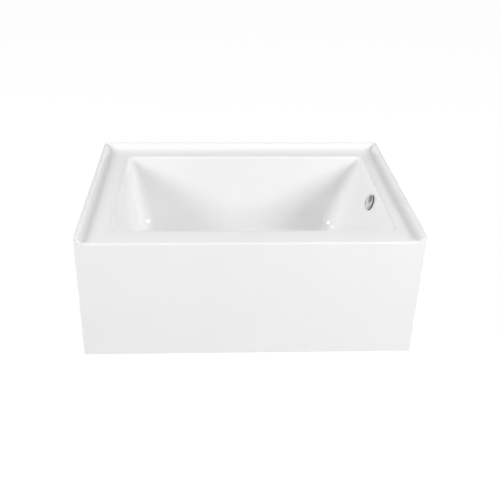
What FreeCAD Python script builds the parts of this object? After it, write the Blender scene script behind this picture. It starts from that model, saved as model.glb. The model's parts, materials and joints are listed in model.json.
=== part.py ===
import FreeCAD, Part
import math
import os

import Sketcher

from FreeCAD import Placement, Rotation, Vector

# An alcove bathtub with an integral front apron and a tile flange on its other three sides.
# Frame: X runs along the tub with the drain at +X, -Y is the apron's face, +Y is the back wall
# and Z is up. The origin is on the floor under the middle of the tub. Lengths are millimetres
# and angles are degrees.

doc = FreeCAD.newDocument("AlcoveBathtub")
sheet = doc.addObject("Spreadsheet::Sheet", "size")

SIZES = [
    # overall
    ("tub_length", 1219.2, "alcove length, wall to wall"),
    ("tub_depth", 812.8, "apron face to back wall"),
    ("deck_height", 480.0, "floor to the top of the deck"),
    ("flange_height", 28.0, "tile flange above the deck"),
    ("flange_top", 7.0, "tile flange thickness at its top"),
    ("cove_radius", 34.0, "hollow curve between deck and tile flange"),
    ("apron_edge", 6.0, "rounding between deck and apron"),
    ("apron_return", 26.0, "width of the apron's turned-back ends"),
    # basin
    ("rim_left", 112.0, "outer edge to basin opening, left"),
    ("rim_right", 82.0, "outer edge to basin opening, drain end"),
    ("rim_front", 88.0, "apron face to basin opening"),
    ("rim_back", 95.0, "back wall to basin opening"),
    ("basin_depth", 335.0, "deck to basin floor at the drain"),
    ("slope_left", 8.0, "left end wall from vertical"),
    ("slope_right", 19.0, "drain end wall from vertical"),
    ("slope_side", 5.0, "front and back walls from vertical"),
    ("corner_top", 25.0, "basin corner radius at the deck"),
    ("corner_floor", 75.0, "basin corner radius at the floor"),
    ("floor_radius", 60.0, "hollow curve between walls and floor"),
    ("lip_radius", 8.0, "rounding of the basin's lip"),
    ("floor_fall", 0.5, "fall of the basin floor towards the drain"),
    # layers
    ("least_round", 0.5, "smallest rounding inside the layers"),
    ("acrylic", 4.0, "acrylic sheet thickness"),
    ("laminate", 3.0, "fibreglass thickness"),
    ("bedding", 1.5, "resin bed between laminate and base board"),
    ("laminate_foot", 3.0, "laminate edge above the floor"),
    # stiffeners
    ("board_thickness", 15.0, "base board thickness"),
    ("board_margin", 30.0, "base board edge inside the basin floor's outline"),
    ("board_cutout", 45.0, "radius of the base board's hole round the drain"),
    ("batten_thickness", 15.0, "deck batten thickness"),
    ("batten_width", 44.0, "deck batten width"),
    ("batten_inset", 9.0, "deck batten from the tub's edge"),
    ("apron_board_thickness", 9.0, "stiffening board behind the apron"),
    ("apron_board_low", 22.0, "lower edge of the apron board"),
    ("apron_board_gap", 6.0, "apron board's top below the front batten"),
    ("apron_rail_thickness", 25.0, "timber rail at the apron's foot"),
    ("apron_rail_low", 22.0, "lower edge of the timber rail"),
    ("apron_rail_height", 108.0, "height of the timber rail"),
    ("apron_end_gap", 8.0, "apron board and rail from the turned-back ends"),
    # steel frame
    ("rail_left_x", 334.6, "left cross rail from the tub's left end"),
    ("rail_right_x", 100.6, "right cross rail from the drain's centre"),
    ("rail_width", 34.0, "outside width of the hat channel"),
    ("rail_height", 30.0, "height of the hat channel"),
    ("rail_lip", 16.0, "width of each lip of the hat channel"),
    ("rail_gauge", 2.0, "steel thickness of rails and brackets"),
    ("rail_overhang", 40.0, "cross rail past its back foot"),
    ("bracket_leg", 32.0, "bracket leg length"),
    ("screw_shank", 2.0, "wood screw shank radius"),
    ("screw_head", 4.4, "wood screw head radius"),
    ("screw_head_height", 2.6, "wood screw head height"),
    ("screw_grip", 11.0, "wood screw length in the wood"),
    ("screw_clearance", 0.3, "radial room round a screw in steel"),
    ("rail_screw_y", 120.0, "rail screws from the basin's centre line"),
    ("bracket_screw_x", 18.0, "bracket screws from the rail's centre line"),
    # levelling feet
    ("foot_front_y", -255.0, "front feet"),
    ("foot_back_y", 265.0, "back feet"),
    ("stud_radius", 5.0, "levelling stud radius"),
    ("stud_tip", 13.0, "stud above the cross rail's web"),
    ("stud_hex", 9.8, "stud's spanner collar, corner radius"),
    ("stud_hex_height", 6.0, "height of the spanner collar"),
    ("nut_corner", 9.8, "nut corner radius"),
    ("weld_nut_height", 8.0, "welded nut height"),
    ("lock_nut_height", 6.0, "lock nut height"),
    ("thread_clearance", 0.05, "radial room in every thread and turning fit"),
    ("seat_gap", 0.3, "gap at seats of moving pieces"),
    ("pad_radius", 24.0, "foot pad radius"),
    ("pad_base", 5.0, "foot pad base thickness"),
    ("pad_height", 16.0, "foot pad height with its socket"),
    ("pad_hub", 11.0, "radius of the pad's socket hub"),
    ("pad_flare", 3.0, "widening of the pad's hub at its base"),
    ("collar_gap", 2.0, "spanner collar above the pad's hub"),
    # drain
    ("drain_from_end", 294.0, "drain centre from the drain end"),
    ("drain_hole", 25.0, "radius of the hole in the basin floor"),
    ("drain_seat", 42.0, "radius of the level seat round the drain hole"),
    ("drain_seat_depth", 1.0, "depth of the level seat"),
    ("drain_flange_radius", 36.5, "visible drain flange radius"),
    ("drain_flange_rim", 3.2, "drain flange thickness"),
    ("drain_body", 22.9, "drain body radius, threaded"),
    ("drain_throat", 19.0, "drain throat radius"),
    ("throat_bevel", 3.5, "width of the bevel that the stopper's seal sits on"),
    ("throat_drop", 1.3, "bevel's lower edge below the drain flange"),
    ("throat_rise", 1.1, "bevel's upper edge above the drain flange's underside"),
    ("flange_slope", 5.0, "sloping outer part of the drain flange"),
    ("flange_flat", 1.5, "rounding of the drain flange's edge"),
    ("drain_body_length", 34.0, "drain body below its flange"),
    ("seal_thickness", 1.0, "sealing ring under the drain flange"),
    ("hub_radius", 7.0, "hub of the drain's cross bar"),
    ("bar_width", 4.0, "width of the drain's cross bar"),
    ("bar_height", 5.0, "height of the drain's cross bar"),
    ("gasket_thickness", 4.0, "rubber gasket under the basin floor"),
    ("shoe_flange", 34.0, "drain shoe flange radius"),
    ("shoe_flange_height", 5.0, "drain shoe flange height"),
    ("shoe_wall", 3.6, "wall of the drain shoe"),
    ("shoe_sump", 1.5, "drain shoe's floor below its side passage"),
    ("waste_height", 49.0, "drain seat above the centre line of the horizontal waste pipe"),
    ("shoe_socket", 50.0, "drain centre to the end of the shoe's socket"),
    # waste pipe and overflow
    ("pipe_radius", 19.05, "waste pipe outside radius"),
    ("pipe_wall", 1.6, "waste pipe wall"),
    ("socket_wall", 3.6, "wall of the fittings round the pipe"),
    ("pipe_insert", 18.0, "pipe length inside a socket"),
    ("tee_arm", 38.0, "tee centre to the end of each arm"),
    ("tailpiece_low", 16.0, "tailpiece's free end below its slip nut"),
    ("tailpiece_step", 0.4, "tailpiece's free end stands out from its fitted end by this"),
    ("slip_nut_length", 17.0, "slip nut length"),
    ("slip_nut_wall", 5.0, "slip nut wall at its corners"),
    ("slip_nut_lip", 4.0, "slip nut lip thickness"),
    ("slip_washer_length", 3.0, "slip washer thickness"),
    ("overflow_below", 60.0, "overflow centre below the deck"),
    ("overflow_hole", 22.0, "radius of the hole in the end wall"),
    ("overflow_cover_radius", 32.0, "overflow cover radius"),
    ("overflow_cover_band", 11.0, "height of the cover's straight rim"),
    ("overflow_cover_height", 20.0, "overflow cover height"),
    ("overflow_cover_wall", 1.6, "overflow cover wall"),
    ("overflow_inlet", 5.0, "radius of the cover's inlet"),
    ("overflow_inlet_drop", 8.0, "inlet below the cover's centre"),
    ("retainer_flange", 3.0, "overflow retainer flange thickness"),
    ("retainer_sleeve", 19.5, "overflow retainer sleeve radius"),
    ("retainer_bore", 16.5, "overflow retainer bore radius"),
    ("retainer_length", 30.0, "overflow retainer sleeve length"),
    ("overflow_flange", 30.0, "overflow gasket and elbow flange radius"),
    ("overflow_gasket", 5.0, "overflow gasket thickness"),
    ("elbow_flange", 5.0, "overflow elbow flange thickness"),
    ("elbow_reach", 38.0, "end wall's face to the overflow pipe's centre line"),
    ("elbow_drop", 50.0, "overflow elbow's socket below its centre"),
    # stopper
    ("post_radius", 4.0, "stopper post radius"),
    ("post_shoulder", 6.0, "stopper post shoulder radius"),
    ("shoulder_height", 2.0, "stopper post shoulder height"),
    ("post_gap", 1.0, "stopper post's top below the closed cap"),
    ("collar_radius", 7.5, "stopper collar radius"),
    ("collar_length", 12.0, "stopper collar length"),
    ("sleeve_radius", 10.0, "stopper sleeve radius"),
    ("sleeve_length", 14.0, "stopper sleeve below the cap"),
    ("cap_radius", 24.5, "stopper cap radius"),
    ("cap_thickness", 3.0, "stopper cap rim thickness"),
    ("cap_crown", 3.0, "stopper cap crown"),
    ("knob_radius", 8.0, "stopper knob radius"),
    ("knob_neck", 5.5, "stopper knob neck radius"),
    ("knob_height", 12.0, "stopper knob height"),
    ("seal_height", 2.5, "stopper seal thickness"),
]

for row, (alias, amount, meaning) in enumerate(SIZES, start=1):
    sheet.set(f"A{row}", meaning)
    sheet.set(f"B{row}", str(amount))
    sheet.setAlias(f"B{row}", alias)
doc.recompute()

# Levels and places that several pieces share, worked out from the sizes.
HALF_LENGTH = "size.tub_length / 2"
HALF_DEPTH = "size.tub_depth / 2"
BASIN_MID_Y = "(size.rim_front - size.rim_back) / 2"
FLOOR_Z = "(size.deck_height - size.basin_depth)"
LAYERS = "(size.acrylic + size.laminate)"
DECK_UNDER_Z = f"(size.deck_height - {LAYERS})"
BOARD_TOP_Z = f"({FLOOR_Z} - {LAYERS} - size.bedding)"
RAIL_TOP_Z = f"({BOARD_TOP_Z} - size.board_thickness)"
RAIL_WEB_Z = f"({RAIL_TOP_Z} - size.rail_height)"
APRON_BACK_Y = f"(-{HALF_DEPTH} + {LAYERS})"
DRAIN_X = f"({HALF_LENGTH} - size.drain_from_end)"
SEAT_Z = f"({FLOOR_Z} - size.drain_seat_depth)"
WASTE_Z = f"({SEAT_Z} - size.waste_height)"
FULL_TURN = 360.0
HEX_SIDES = 6
CUT_MARGIN = 5.0
TOUCHING = 1e-6
LEAST_LENGTH = 1e-3

sub_parts = []


def value(expression):
    """The number that an expression gives with the present sizes."""
    return float(sheet.evalExpression(expression))


def bind(thing, **expressions):
    """Ties properties of an object to expressions; a double underscore stands for a dot."""
    for prop, expression in expressions.items():
        thing.setExpression(prop.replace("__", "."), expression)


def finished(thing, label):
    """Names a sub-part, which also names its file."""
    thing.Label = label
    sub_parts.append(thing)
    return thing


def place(thing, x="0", y="0", z="0", axis=None, angle=None):
    """Puts an object at a point, turned about an axis, both tied to the sizes."""
    thing.Placement = Placement(Vector(), Rotation(axis or Vector(0, 0, 1), 0))
    bind(thing, Placement__Base__x=x, Placement__Base__y=y, Placement__Base__z=z)
    if angle is not None:
        bind(thing, Placement__Rotation__Angle=angle)
    return thing


def origin_plane(body, role):
    """A body's own origin plane, found by its role."""
    return next(f for f in body.Origin.OriginFeatures if f.Role == role)


def new_body(name):
    """An empty body."""
    return doc.addObject("PartDesign::Body", name)


def new_sketch(body, name, role, height="0", tilt="0"):
    """A sketch on one of the body's origin planes, raised and tilted about Y."""
    sketch = body.newObject("Sketcher::SketchObject", name)
    sketch.AttachmentSupport = (origin_plane(body, role), "")
    sketch.MapMode = "FlatFace"
    if tilt != "0":
        sketch.AttachmentOffset = Placement(Vector(), Rotation(Vector(0, 1, 0), 1))
        bind(sketch, AttachmentOffset__Rotation__Angle=tilt)
    bind(sketch, AttachmentOffset__Base__z=height)
    return sketch


def tie(sketch, kind, *where, expression):
    """Adds one dimension to a sketch and ties it to an expression."""
    index = sketch.addConstraint(Sketcher.Constraint(kind, *where, value(expression)))
    sketch.setExpression(f"Constraints[{index}]", expression)


def outline(sketch, corners):
    """A closed outline through corners given as pairs of expressions.

    A corner with a third entry starts an arc of that radius to the next corner, and the arc
    bulges to the left of the way there, or to the right when a fourth entry says so.
    """
    points = [Vector(value(c[0]), value(c[1]), 0) for c in corners]
    first = sketch.GeometryCount
    for i, corner in enumerate(corners):
        start, end = points[i], points[(i + 1) % len(points)]
        if len(corner) == 2:
            sketch.addGeometry(Part.LineSegment(start, end), False)
            continue
        radius = value(corner[2])
        chord = end - start
        sagitta_side = -1 if len(corner) == 4 and corner[3] == "right" else 1
        left = Vector(-chord.y, chord.x, 0).normalize()
        reach = math.sqrt(max(radius**2 - (chord.Length / 2) ** 2, 0.0))
        centre = (start + end) / 2 - left * (reach * sagitta_side)
        way = (start, end) if sagitta_side < 0 else (end, start)
        angles = [math.atan2(p.y - centre.y, p.x - centre.x) for p in way]
        if angles[1] < angles[0]:
            angles[1] += 2 * math.pi
        ring = Part.Circle(centre, Vector(0, 0, 1), radius)
        sketch.addGeometry(Part.ArcOfCircle(ring, angles[0], angles[1]), False)
    ends = []
    for i in range(len(corners)):
        curve = sketch.Geometry[first + i]
        at_start = curve.StartPoint.distanceToPoint(points[i]) < curve.EndPoint.distanceToPoint(points[i])
        ends.append((1, 2) if at_start else (2, 1))
    for i, corner in enumerate(corners):
        following = (i + 1) % len(corners)
        sketch.addConstraint(
            Sketcher.Constraint("Coincident", first + i, ends[i][1], first + following, ends[following][0])
        )
    for i, corner in enumerate(corners):
        where = (-1, 1, first + i, ends[i][0])
        tie(sketch, "DistanceX", *where, expression=corner[0])
        tie(sketch, "DistanceY", *where, expression=corner[1])
        if len(corner) > 2:
            tie(sketch, "Radius", first + i, expression=corner[2])


def rectangle(sketch, x_low, x_high, y_low, y_high):
    """A rectangle between four expressions."""
    outline(sketch, [(x_low, y_low), (x_high, y_low), (x_high, y_high), (x_low, y_high)])


def rounded_rectangle(sketch, x_low, x_high, y_low, y_high, radius):
    """A rectangle with four equal round corners, each a quarter circle."""
    low_x, high_x = f"({x_low}) + ({radius})", f"({x_high}) - ({radius})"
    low_y, high_y = f"({y_low}) + ({radius})", f"({y_high}) - ({radius})"
    outline(
        sketch,
        [
            (low_x, y_low),
            (high_x, y_low, radius, "right"),
            (x_high, low_y),
            (x_high, high_y, radius, "right"),
            (high_x, y_high),
            (low_x, y_high, radius, "right"),
            (x_low, high_y),
            (x_low, low_y, radius, "right"),
        ],
    )


def circle(sketch, x, y, radius):
    """A circle whose centre and radius are expressions."""
    ring = Part.Circle(Vector(value(x), value(y), 0), Vector(0, 0, 1), value(radius))
    index = sketch.addGeometry(ring, False)
    tie(sketch, "DistanceX", -1, 1, index, 3, expression=x)
    tie(sketch, "DistanceY", -1, 1, index, 3, expression=y)
    tie(sketch, "Radius", index, expression=radius)


def pad(body, sketch, length, name, midplane=False):
    """Raises a sketch into a solid."""
    feature = body.newObject("PartDesign::Pad", name)
    feature.Profile = sketch
    feature.Midplane = midplane
    bind(feature, Length=length)
    return feature


def pocket(body, sketch, name, length=None, upward=False):
    """Cuts a sketch out of the solid, to a length or all the way through both ways."""
    feature = body.newObject("PartDesign::Pocket", name)
    feature.Profile = sketch
    feature.Reversed = upward
    if length is None:
        feature.Type = "ThroughAll"
        feature.Midplane = True
    else:
        bind(feature, Length=length)
    return feature


def revolve(body, sketch, name):
    """Turns a sketch fully about its upright axis."""
    feature = body.newObject("PartDesign::Revolution", name)
    feature.Profile = sketch
    feature.ReferenceAxis = (sketch, ["V_Axis"])
    feature.Angle = FULL_TURN
    return feature


def edges_where(feature, test):
    """The names of a feature's edges whose middle point and shape pass a test."""
    names = []
    for number, edge in enumerate(feature.Shape.Edges, start=1):
        middle = edge.valueAt((edge.FirstParameter + edge.LastParameter) / 2)
        if test(edge, middle):
            names.append(f"Edge{number}")
    return names


def round_edges(body, test, radius, name):
    """Rounds the edges of a body's last feature that pass a test."""
    doc.recompute()
    base = body.Tip
    names = edges_where(base, test)
    if not names:
        raise RuntimeError(f"{name} found no edges")
    feature = body.newObject("PartDesign::Fillet", name)
    feature.Base = (base, names)
    bind(feature, Radius=radius)
    doc.recompute()
    return feature


def turned(label, corners, **where):
    """A piece turned about its own upright axis from an outline of radius and height."""
    body = new_body(label)
    sketch = new_sketch(body, f"{label}_outline", "XZ_Plane")
    outline(sketch, corners)
    revolve(body, sketch, f"{label}_turned")
    place(body, **where)
    return body


def tube_outline(inner, outer, low, high):
    """The outline of a plain ring or pipe."""
    return [(inner, low), (outer, low), (outer, high), (inner, high)]


def cylinder(name, radius, length, **where):
    """A plain cylinder that stands on its placement."""
    thing = doc.addObject("Part::Cylinder", name)
    bind(thing, Radius=radius, Height=length)
    return place(thing, **where)


def box(name, x, y, z):
    """A block between pairs of expressions."""
    thing = doc.addObject("Part::Box", name)
    bind(thing, Length=f"({x[1]}) - ({x[0]})", Width=f"({y[1]}) - ({y[0]})", Height=f"({z[1]}) - ({z[0]})")
    return place(thing, x=x[0], y=y[0], z=z[0])


def hexagon(name, corner, height, **where):
    """A six-sided bar that stands on its placement."""
    thing = doc.addObject("Part::Prism", name)
    thing.Polygon = HEX_SIDES
    bind(thing, Circumradius=corner, Height=height)
    return place(thing, **where)


def fused(name, things):
    """Several touching solids joined into one."""
    joined = doc.addObject("Part::MultiFuse", name)
    joined.Shapes = things
    joined.Refine = True
    return joined


def cut(name, base, tools):
    """A solid with tools taken out of it one after another."""
    for number, tool in enumerate(tools, start=1):
        result = doc.addObject("Part::Cut", name if number == len(tools) else f"{name}_step_{number}")
        result.Base = base
        result.Tool = tool
        base = result
    return base


def group(label, things):
    """Like pieces that share one node and stay separate solids."""
    together = doc.addObject("Part::Compound", label)
    together.Links = things
    return finished(together, label)


# ---------------------------------------------------------------- shell and laminate


def basin_side(edge, rim, slope, sign, below, inset, tilt="0"):
    """Where a basin wall is, a way below the deck, when the wall is thickened by an inset.

    On a tilted floor the distance is measured along the floor, from the middle of the tub.
    """
    way_in = f"({rim} + {below} * tan({slope}) - {inset} / cos({slope}))"
    lean = f"(cos({tilt}) + {sign} * tan({slope}) * sin({tilt}))"
    return f"({sign} * ({edge} - {way_in}) / {lean})"


def basin_outline(sketch, below, inset, corner, tilt="0"):
    """The basin's rounded outline, a way below the deck."""
    rounded_rectangle(
        sketch,
        basin_side(HALF_LENGTH, "size.rim_left", "size.slope_left", -1, below, inset, tilt),
        basin_side(HALF_LENGTH, "size.rim_right", "size.slope_right", 1, below, inset, tilt),
        basin_side(HALF_DEPTH, "size.rim_front", "size.slope_side", -1, below, inset),
        basin_side(HALF_DEPTH, "size.rim_back", "size.slope_side", 1, below, inset),
        f"({corner} + {inset})",
    )


def add_tile_flange(body, name):
    """The raised flange on the left, right and back, with its hollow curve down to the deck."""
    room = f"{HALF_LENGTH} - size.flange_top"
    tray = new_sketch(body, f"{name}_tray", "XY_Plane", "size.deck_height")
    rectangle(tray, f"-({room})", room, f"-{HALF_DEPTH} - {CUT_MARGIN}", f"{HALF_DEPTH} - size.flange_top")
    pocket(body, tray, f"{name}_tray_cut", length=f"size.cove_radius + {2 * CUT_MARGIN}", upward=True)
    deck = value("size.deck_height")
    front = -value(HALF_DEPTH)

    def is_crease(edge, middle):
        at_deck = abs(middle.z - deck) < TOUCHING and edge.BoundBox.ZLength < TOUCHING
        return at_deck and abs(middle.y - front) > TOUCHING and abs(middle.x) < value(room) + TOUCHING

    round_edges(body, is_crease, "size.cove_radius", f"{name}_cove")
    trim = new_sketch(body, f"{name}_trim", "XY_Plane", "size.deck_height + size.flange_height")
    reach = f"{HALF_LENGTH} + {CUT_MARGIN}"
    rectangle(trim, f"-({reach})", reach, f"-{HALF_DEPTH} - {CUT_MARGIN}", f"{HALF_DEPTH} + {CUT_MARGIN}")
    pocket(body, trim, f"{name}_trim_cut", length=f"size.cove_radius + {3 * CUT_MARGIN}", upward=True)


def moulding(name, inset, low, with_flange=False, level_floor=False):
    """The solid mass under the tub's surface, taken in by an inset from that surface."""
    body = new_body(name)
    base = new_sketch(body, f"{name}_base", "XY_Plane", low)
    rectangle(base, f"-{HALF_LENGTH}", HALF_LENGTH, f"-{HALF_DEPTH} + {inset}", HALF_DEPTH)
    height = f"size.deck_height - {inset} - ({low})"
    if with_flange:
        height += f" + size.cove_radius + {CUT_MARGIN}"
    pad(body, base, height, f"{name}_block")
    if with_flange:
        add_tile_flange(body, name)
    front = -value(f"{HALF_DEPTH} - {inset}")
    top = value(f"size.deck_height - {inset}")

    def is_front_top(edge, middle):
        on_front = abs(middle.y - front) < TOUCHING and edge.BoundBox.YLength < TOUCHING
        from_deck = middle.z - top
        in_reach = -TOUCHING < from_deck < value("size.flange_height") - TOUCHING
        return on_front and in_reach and edge.BoundBox.XLength > LEAST_LENGTH

    edge_radius = f"max(size.apron_edge - {inset}; size.least_round)"
    round_edges(body, is_front_top, edge_radius, f"{name}_apron_edge")
    opening = new_sketch(body, f"{name}_opening", "XY_Plane", "size.deck_height")
    basin_outline(opening, "0", inset, "size.corner_top")
    tilt = "0" if level_floor else "size.floor_fall"
    extra = "size.bedding" if level_floor else f"-{DRAIN_X} * tan(size.floor_fall)"
    below = f"(size.basin_depth + {inset} + {extra})"
    floor_z = f"size.deck_height - {below}"
    floor = new_sketch(body, f"{name}_floor", "XY_Plane", floor_z, tilt)
    basin_outline(floor, below, inset, "size.corner_floor", tilt)
    hollow = body.newObject("PartDesign::SubtractiveLoft", f"{name}_basin")
    hollow.Profile = opening
    hollow.Sections = [floor]
    hollow.Ruled = True
    lowest = value(floor_z) + value(HALF_LENGTH) * math.tan(math.radians(value("size.floor_fall")))

    def is_floor(edge, middle):
        inside_x = abs(middle.x) < value(f"{HALF_LENGTH} - {CUT_MARGIN}")
        inside_y = abs(middle.y) < value(f"{HALF_DEPTH} - {CUT_MARGIN}")
        level = edge.BoundBox.ZLength < value(f"2 * {CUT_MARGIN}")
        return inside_x and inside_y and level and value(f"{low} + {CUT_MARGIN}") < middle.z < lowest

    def is_lip(edge, middle):
        past_cove = value(f"{HALF_LENGTH} - size.flange_top - size.cove_radius - {CUT_MARGIN}")
        past_edge = value(f"{HALF_DEPTH} - size.flange_top - size.cove_radius - {CUT_MARGIN}")
        inside = abs(middle.x) < past_cove and abs(middle.y) < past_edge
        return inside and abs(middle.z - top) < LEAST_LENGTH and edge.BoundBox.ZLength < LEAST_LENGTH

    round_edges(body, is_floor, f"size.floor_radius + {inset}", f"{name}_floor_round")
    round_edges(body, is_lip, f"max(size.lip_radius - {inset}; size.least_round)", f"{name}_lip")
    return body


def end_return_cut(body, name, inset):
    """Takes the corners off an inner mass, so that the apron's ends turn back."""
    corners = new_sketch(body, f"{name}_returns", "XY_Plane", f"-{CUT_MARGIN}")
    front = f"-{HALF_DEPTH} - {CUT_MARGIN}"
    back = f"-{HALF_DEPTH} + size.apron_return"
    rectangle(corners, f"{HALF_LENGTH} - {inset}", f"{HALF_LENGTH} + {CUT_MARGIN}", front, back)
    rectangle(corners, f"-{HALF_LENGTH} - {CUT_MARGIN}", f"-{HALF_LENGTH} + {inset}", front, back)
    pocket(body, corners, f"{name}_returns_cut")


def overflow_place():
    """Where the overflow's own upright axis starts: on the end wall, pointing into the basin."""
    return {
        "x": f"{HALF_LENGTH} - size.rim_right - size.overflow_below * tan(size.slope_right)",
        "y": BASIN_MID_Y,
        "z": "size.deck_height - size.overflow_below",
        "axis": Vector(0, -1, 0),
        "angle": "90 - size.slope_right",
    }


def drill(name, radius, low, high, **where):
    """A cylinder along a placement's own axis between two heights."""
    body = new_body(name)
    sketch = new_sketch(body, f"{name}_circle", "XY_Plane", low)
    circle(sketch, "0", "0", radius)
    pad(body, sketch, f"({high}) - ({low})", f"{name}_bar")
    return place(body, **where)


overflow_reach = ("-size.elbow_reach", "size.elbow_reach")
drain_spot = {"x": DRAIN_X, "y": BASIN_MID_Y}

outer_mass = moulding("outer_mass", "0", "0", with_flange=True)
middle_mass = moulding("middle_mass", "size.acrylic", f"-{CUT_MARGIN}")
end_return_cut(middle_mass, "middle_mass", "size.acrylic")
laminate_mass = moulding("laminate_mass", "size.acrylic", "size.laminate_foot")
end_return_cut(laminate_mass, "laminate_mass", "size.acrylic")
inner_mass = moulding("inner_mass", LAYERS, f"-{CUT_MARGIN}", level_floor=True)
end_return_cut(inner_mass, "inner_mass", LAYERS)
seat_cutter = drill("seat_cutter", "size.drain_seat", SEAT_Z, "size.deck_height", **drain_spot)
shell_drills = [seat_cutter]
laminate_drills = []
for layer, drills in (("shell", shell_drills), ("laminate", laminate_drills)):
    drills.append(drill(f"{layer}_drain_drill", "size.drain_hole", "0", "size.deck_height", **drain_spot))
    drills.append(
        drill(f"{layer}_overflow_drill", "size.overflow_hole", *overflow_reach, **overflow_place())
    )
finished(cut("tub_shell", outer_mass, [middle_mass, *shell_drills]), "tub_shell")
finished(cut("fibreglass_backing", laminate_mass, [inner_mass, *laminate_drills]), "fibreglass_backing")

# ---------------------------------------------------------------- wooden stiffeners

board_low = "(size.basin_depth + size.bedding)"
board_x = (
    basin_side(HALF_LENGTH, "size.rim_left", "size.slope_left", -1, board_low, "0") + " + size.board_margin",
    basin_side(HALF_LENGTH, "size.rim_right", "size.slope_right", 1, board_low, "0") + " - size.board_margin",
)
board_y = (
    basin_side(HALF_DEPTH, "size.rim_front", "size.slope_side", -1, board_low, "0") + " + size.board_margin",
    basin_side(HALF_DEPTH, "size.rim_back", "size.slope_side", 1, board_low, "0") + " - size.board_margin",
)
BATTEN_Z = (f"{DECK_UNDER_Z} - size.batten_thickness", DECK_UNDER_Z)
batten_back_y = (f"{HALF_DEPTH} - size.batten_inset - size.batten_width", f"{HALF_DEPTH} - size.batten_inset")
batten_front_y = (f"{APRON_BACK_Y} + size.least_round", f"{APRON_BACK_Y} + size.batten_width")
batten_right_x = (
    f"{HALF_LENGTH} - size.batten_inset - size.batten_width",
    f"{HALF_LENGTH} - size.batten_inset",
)
batten_left_x = (f"-({batten_right_x[1]})", f"-({batten_right_x[0]})")
between_ends_x = (batten_left_x[1], batten_right_x[0])
between_sides_y = (f"-{HALF_DEPTH} + size.apron_return", batten_back_y[1])
finished(box("deck_batten_front", between_ends_x, batten_front_y, BATTEN_Z), "deck_batten_front")
finished(box("deck_batten_back", between_ends_x, batten_back_y, BATTEN_Z), "deck_batten_back")
finished(box("deck_batten_left", batten_left_x, between_sides_y, BATTEN_Z), "deck_batten_left")
finished(box("deck_batten_right", batten_right_x, between_sides_y, BATTEN_Z), "deck_batten_right")

apron_x = (
    f"-{HALF_LENGTH} + {LAYERS} + size.apron_end_gap",
    f"{HALF_LENGTH} - {LAYERS} - size.apron_end_gap",
)
apron_board_y = (APRON_BACK_Y, f"{APRON_BACK_Y} + size.apron_board_thickness")
apron_board_z = ("size.apron_board_low", f"{BATTEN_Z[0]} - size.apron_board_gap")
finished(box("apron_board", apron_x, apron_board_y, apron_board_z), "apron_board")
apron_rail_y = (apron_board_y[1], f"{apron_board_y[1]} + size.apron_rail_thickness")
apron_rail_z = ("size.apron_rail_low", "size.apron_rail_low + size.apron_rail_height")
RAIL_FRONT_Y = f"({apron_rail_y[1]})"

# ---------------------------------------------------------------- steel frame

SIDES = {"left": f"(size.rail_left_x - {HALF_LENGTH})", "right": f"({DRAIN_X} - size.rail_right_x)"}
ENDS = {"front": "size.foot_front_y", "back": "size.foot_back_y"}
RAIL_BACK_Y = "(size.foot_back_y + size.rail_overhang)"
LIP_MIDDLE = "(size.rail_width + size.rail_lip) / 2"


def cross_rail(side, x):
    """A steel hat channel under the base board, open side up, pierced for its studs and screws."""
    label = f"cross_rail_{side}"
    body = new_body(label)
    section = new_sketch(body, f"{label}_section", "XZ_Plane")
    half, lip, gauge, deep = "size.rail_width / 2", "size.rail_lip", "size.rail_gauge", "size.rail_height"
    right_half = [
        (f"{half} - {gauge}", f"-{deep} + {gauge}"),
        (f"{half} - {gauge}", "0"),
        (f"{half} + {lip}", "0"),
        (f"{half} + {lip}", f"-{gauge}"),
        (half, f"-{gauge}"),
        (half, f"-{deep}"),
    ]
    left_half = [(f"-({across})", height) for across, height in reversed(right_half)]
    outline(section, right_half + left_half)
    bar = pad(body, section, f"{RAIL_BACK_Y} - {RAIL_FRONT_Y}", f"{label}_bar")
    bar.Reversed = True
    studs = new_sketch(body, f"{label}_stud_holes", "XY_Plane", f"-{deep} - {CUT_MARGIN}")
    for y in ENDS.values():
        circle(studs, "0", f"{y} - {RAIL_FRONT_Y}", "size.stud_radius + size.screw_clearance")
    pocket(body, studs, f"{label}_stud_cut", length=f"{gauge} + {2 * CUT_MARGIN}", upward=True)
    screws = new_sketch(body, f"{label}_screw_holes", "XY_Plane", f"-{gauge} - {CUT_MARGIN}")
    for across in (f"-{LIP_MIDDLE}", LIP_MIDDLE):
        for along in ("-size.rail_screw_y", "size.rail_screw_y"):
            y = f"{BASIN_MID_Y} + {along} - {RAIL_FRONT_Y}"
            circle(screws, across, y, "size.screw_shank + size.screw_clearance")
    pocket(body, screws, f"{label}_screw_cut", length=f"{gauge} + {2 * CUT_MARGIN}", upward=True)
    place(body, x=x, y=RAIL_FRONT_Y, z=RAIL_TOP_Z)
    return finished(body, label)


def wood_screw(name, x, y, z, grip, axis=None, angle=None):
    """A pan-head wood screw; its own axis runs from the head's underside into the wood."""
    body = new_body(name)
    sketch = new_sketch(body, f"{name}_outline", "XZ_Plane")
    outline(
        sketch,
        [
            ("0", "-size.screw_head_height"),
            ("size.screw_head", "-size.screw_head_height"),
            ("size.screw_head", "0"),
            ("size.screw_shank", "0"),
            ("size.screw_shank", f"{grip} - 2 * size.screw_shank"),
            ("0", grip),
        ],
    )
    revolve(body, sketch, f"{name}_turned")
    return place(body, x=x, y=y, z=z, axis=axis, angle=angle)


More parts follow.
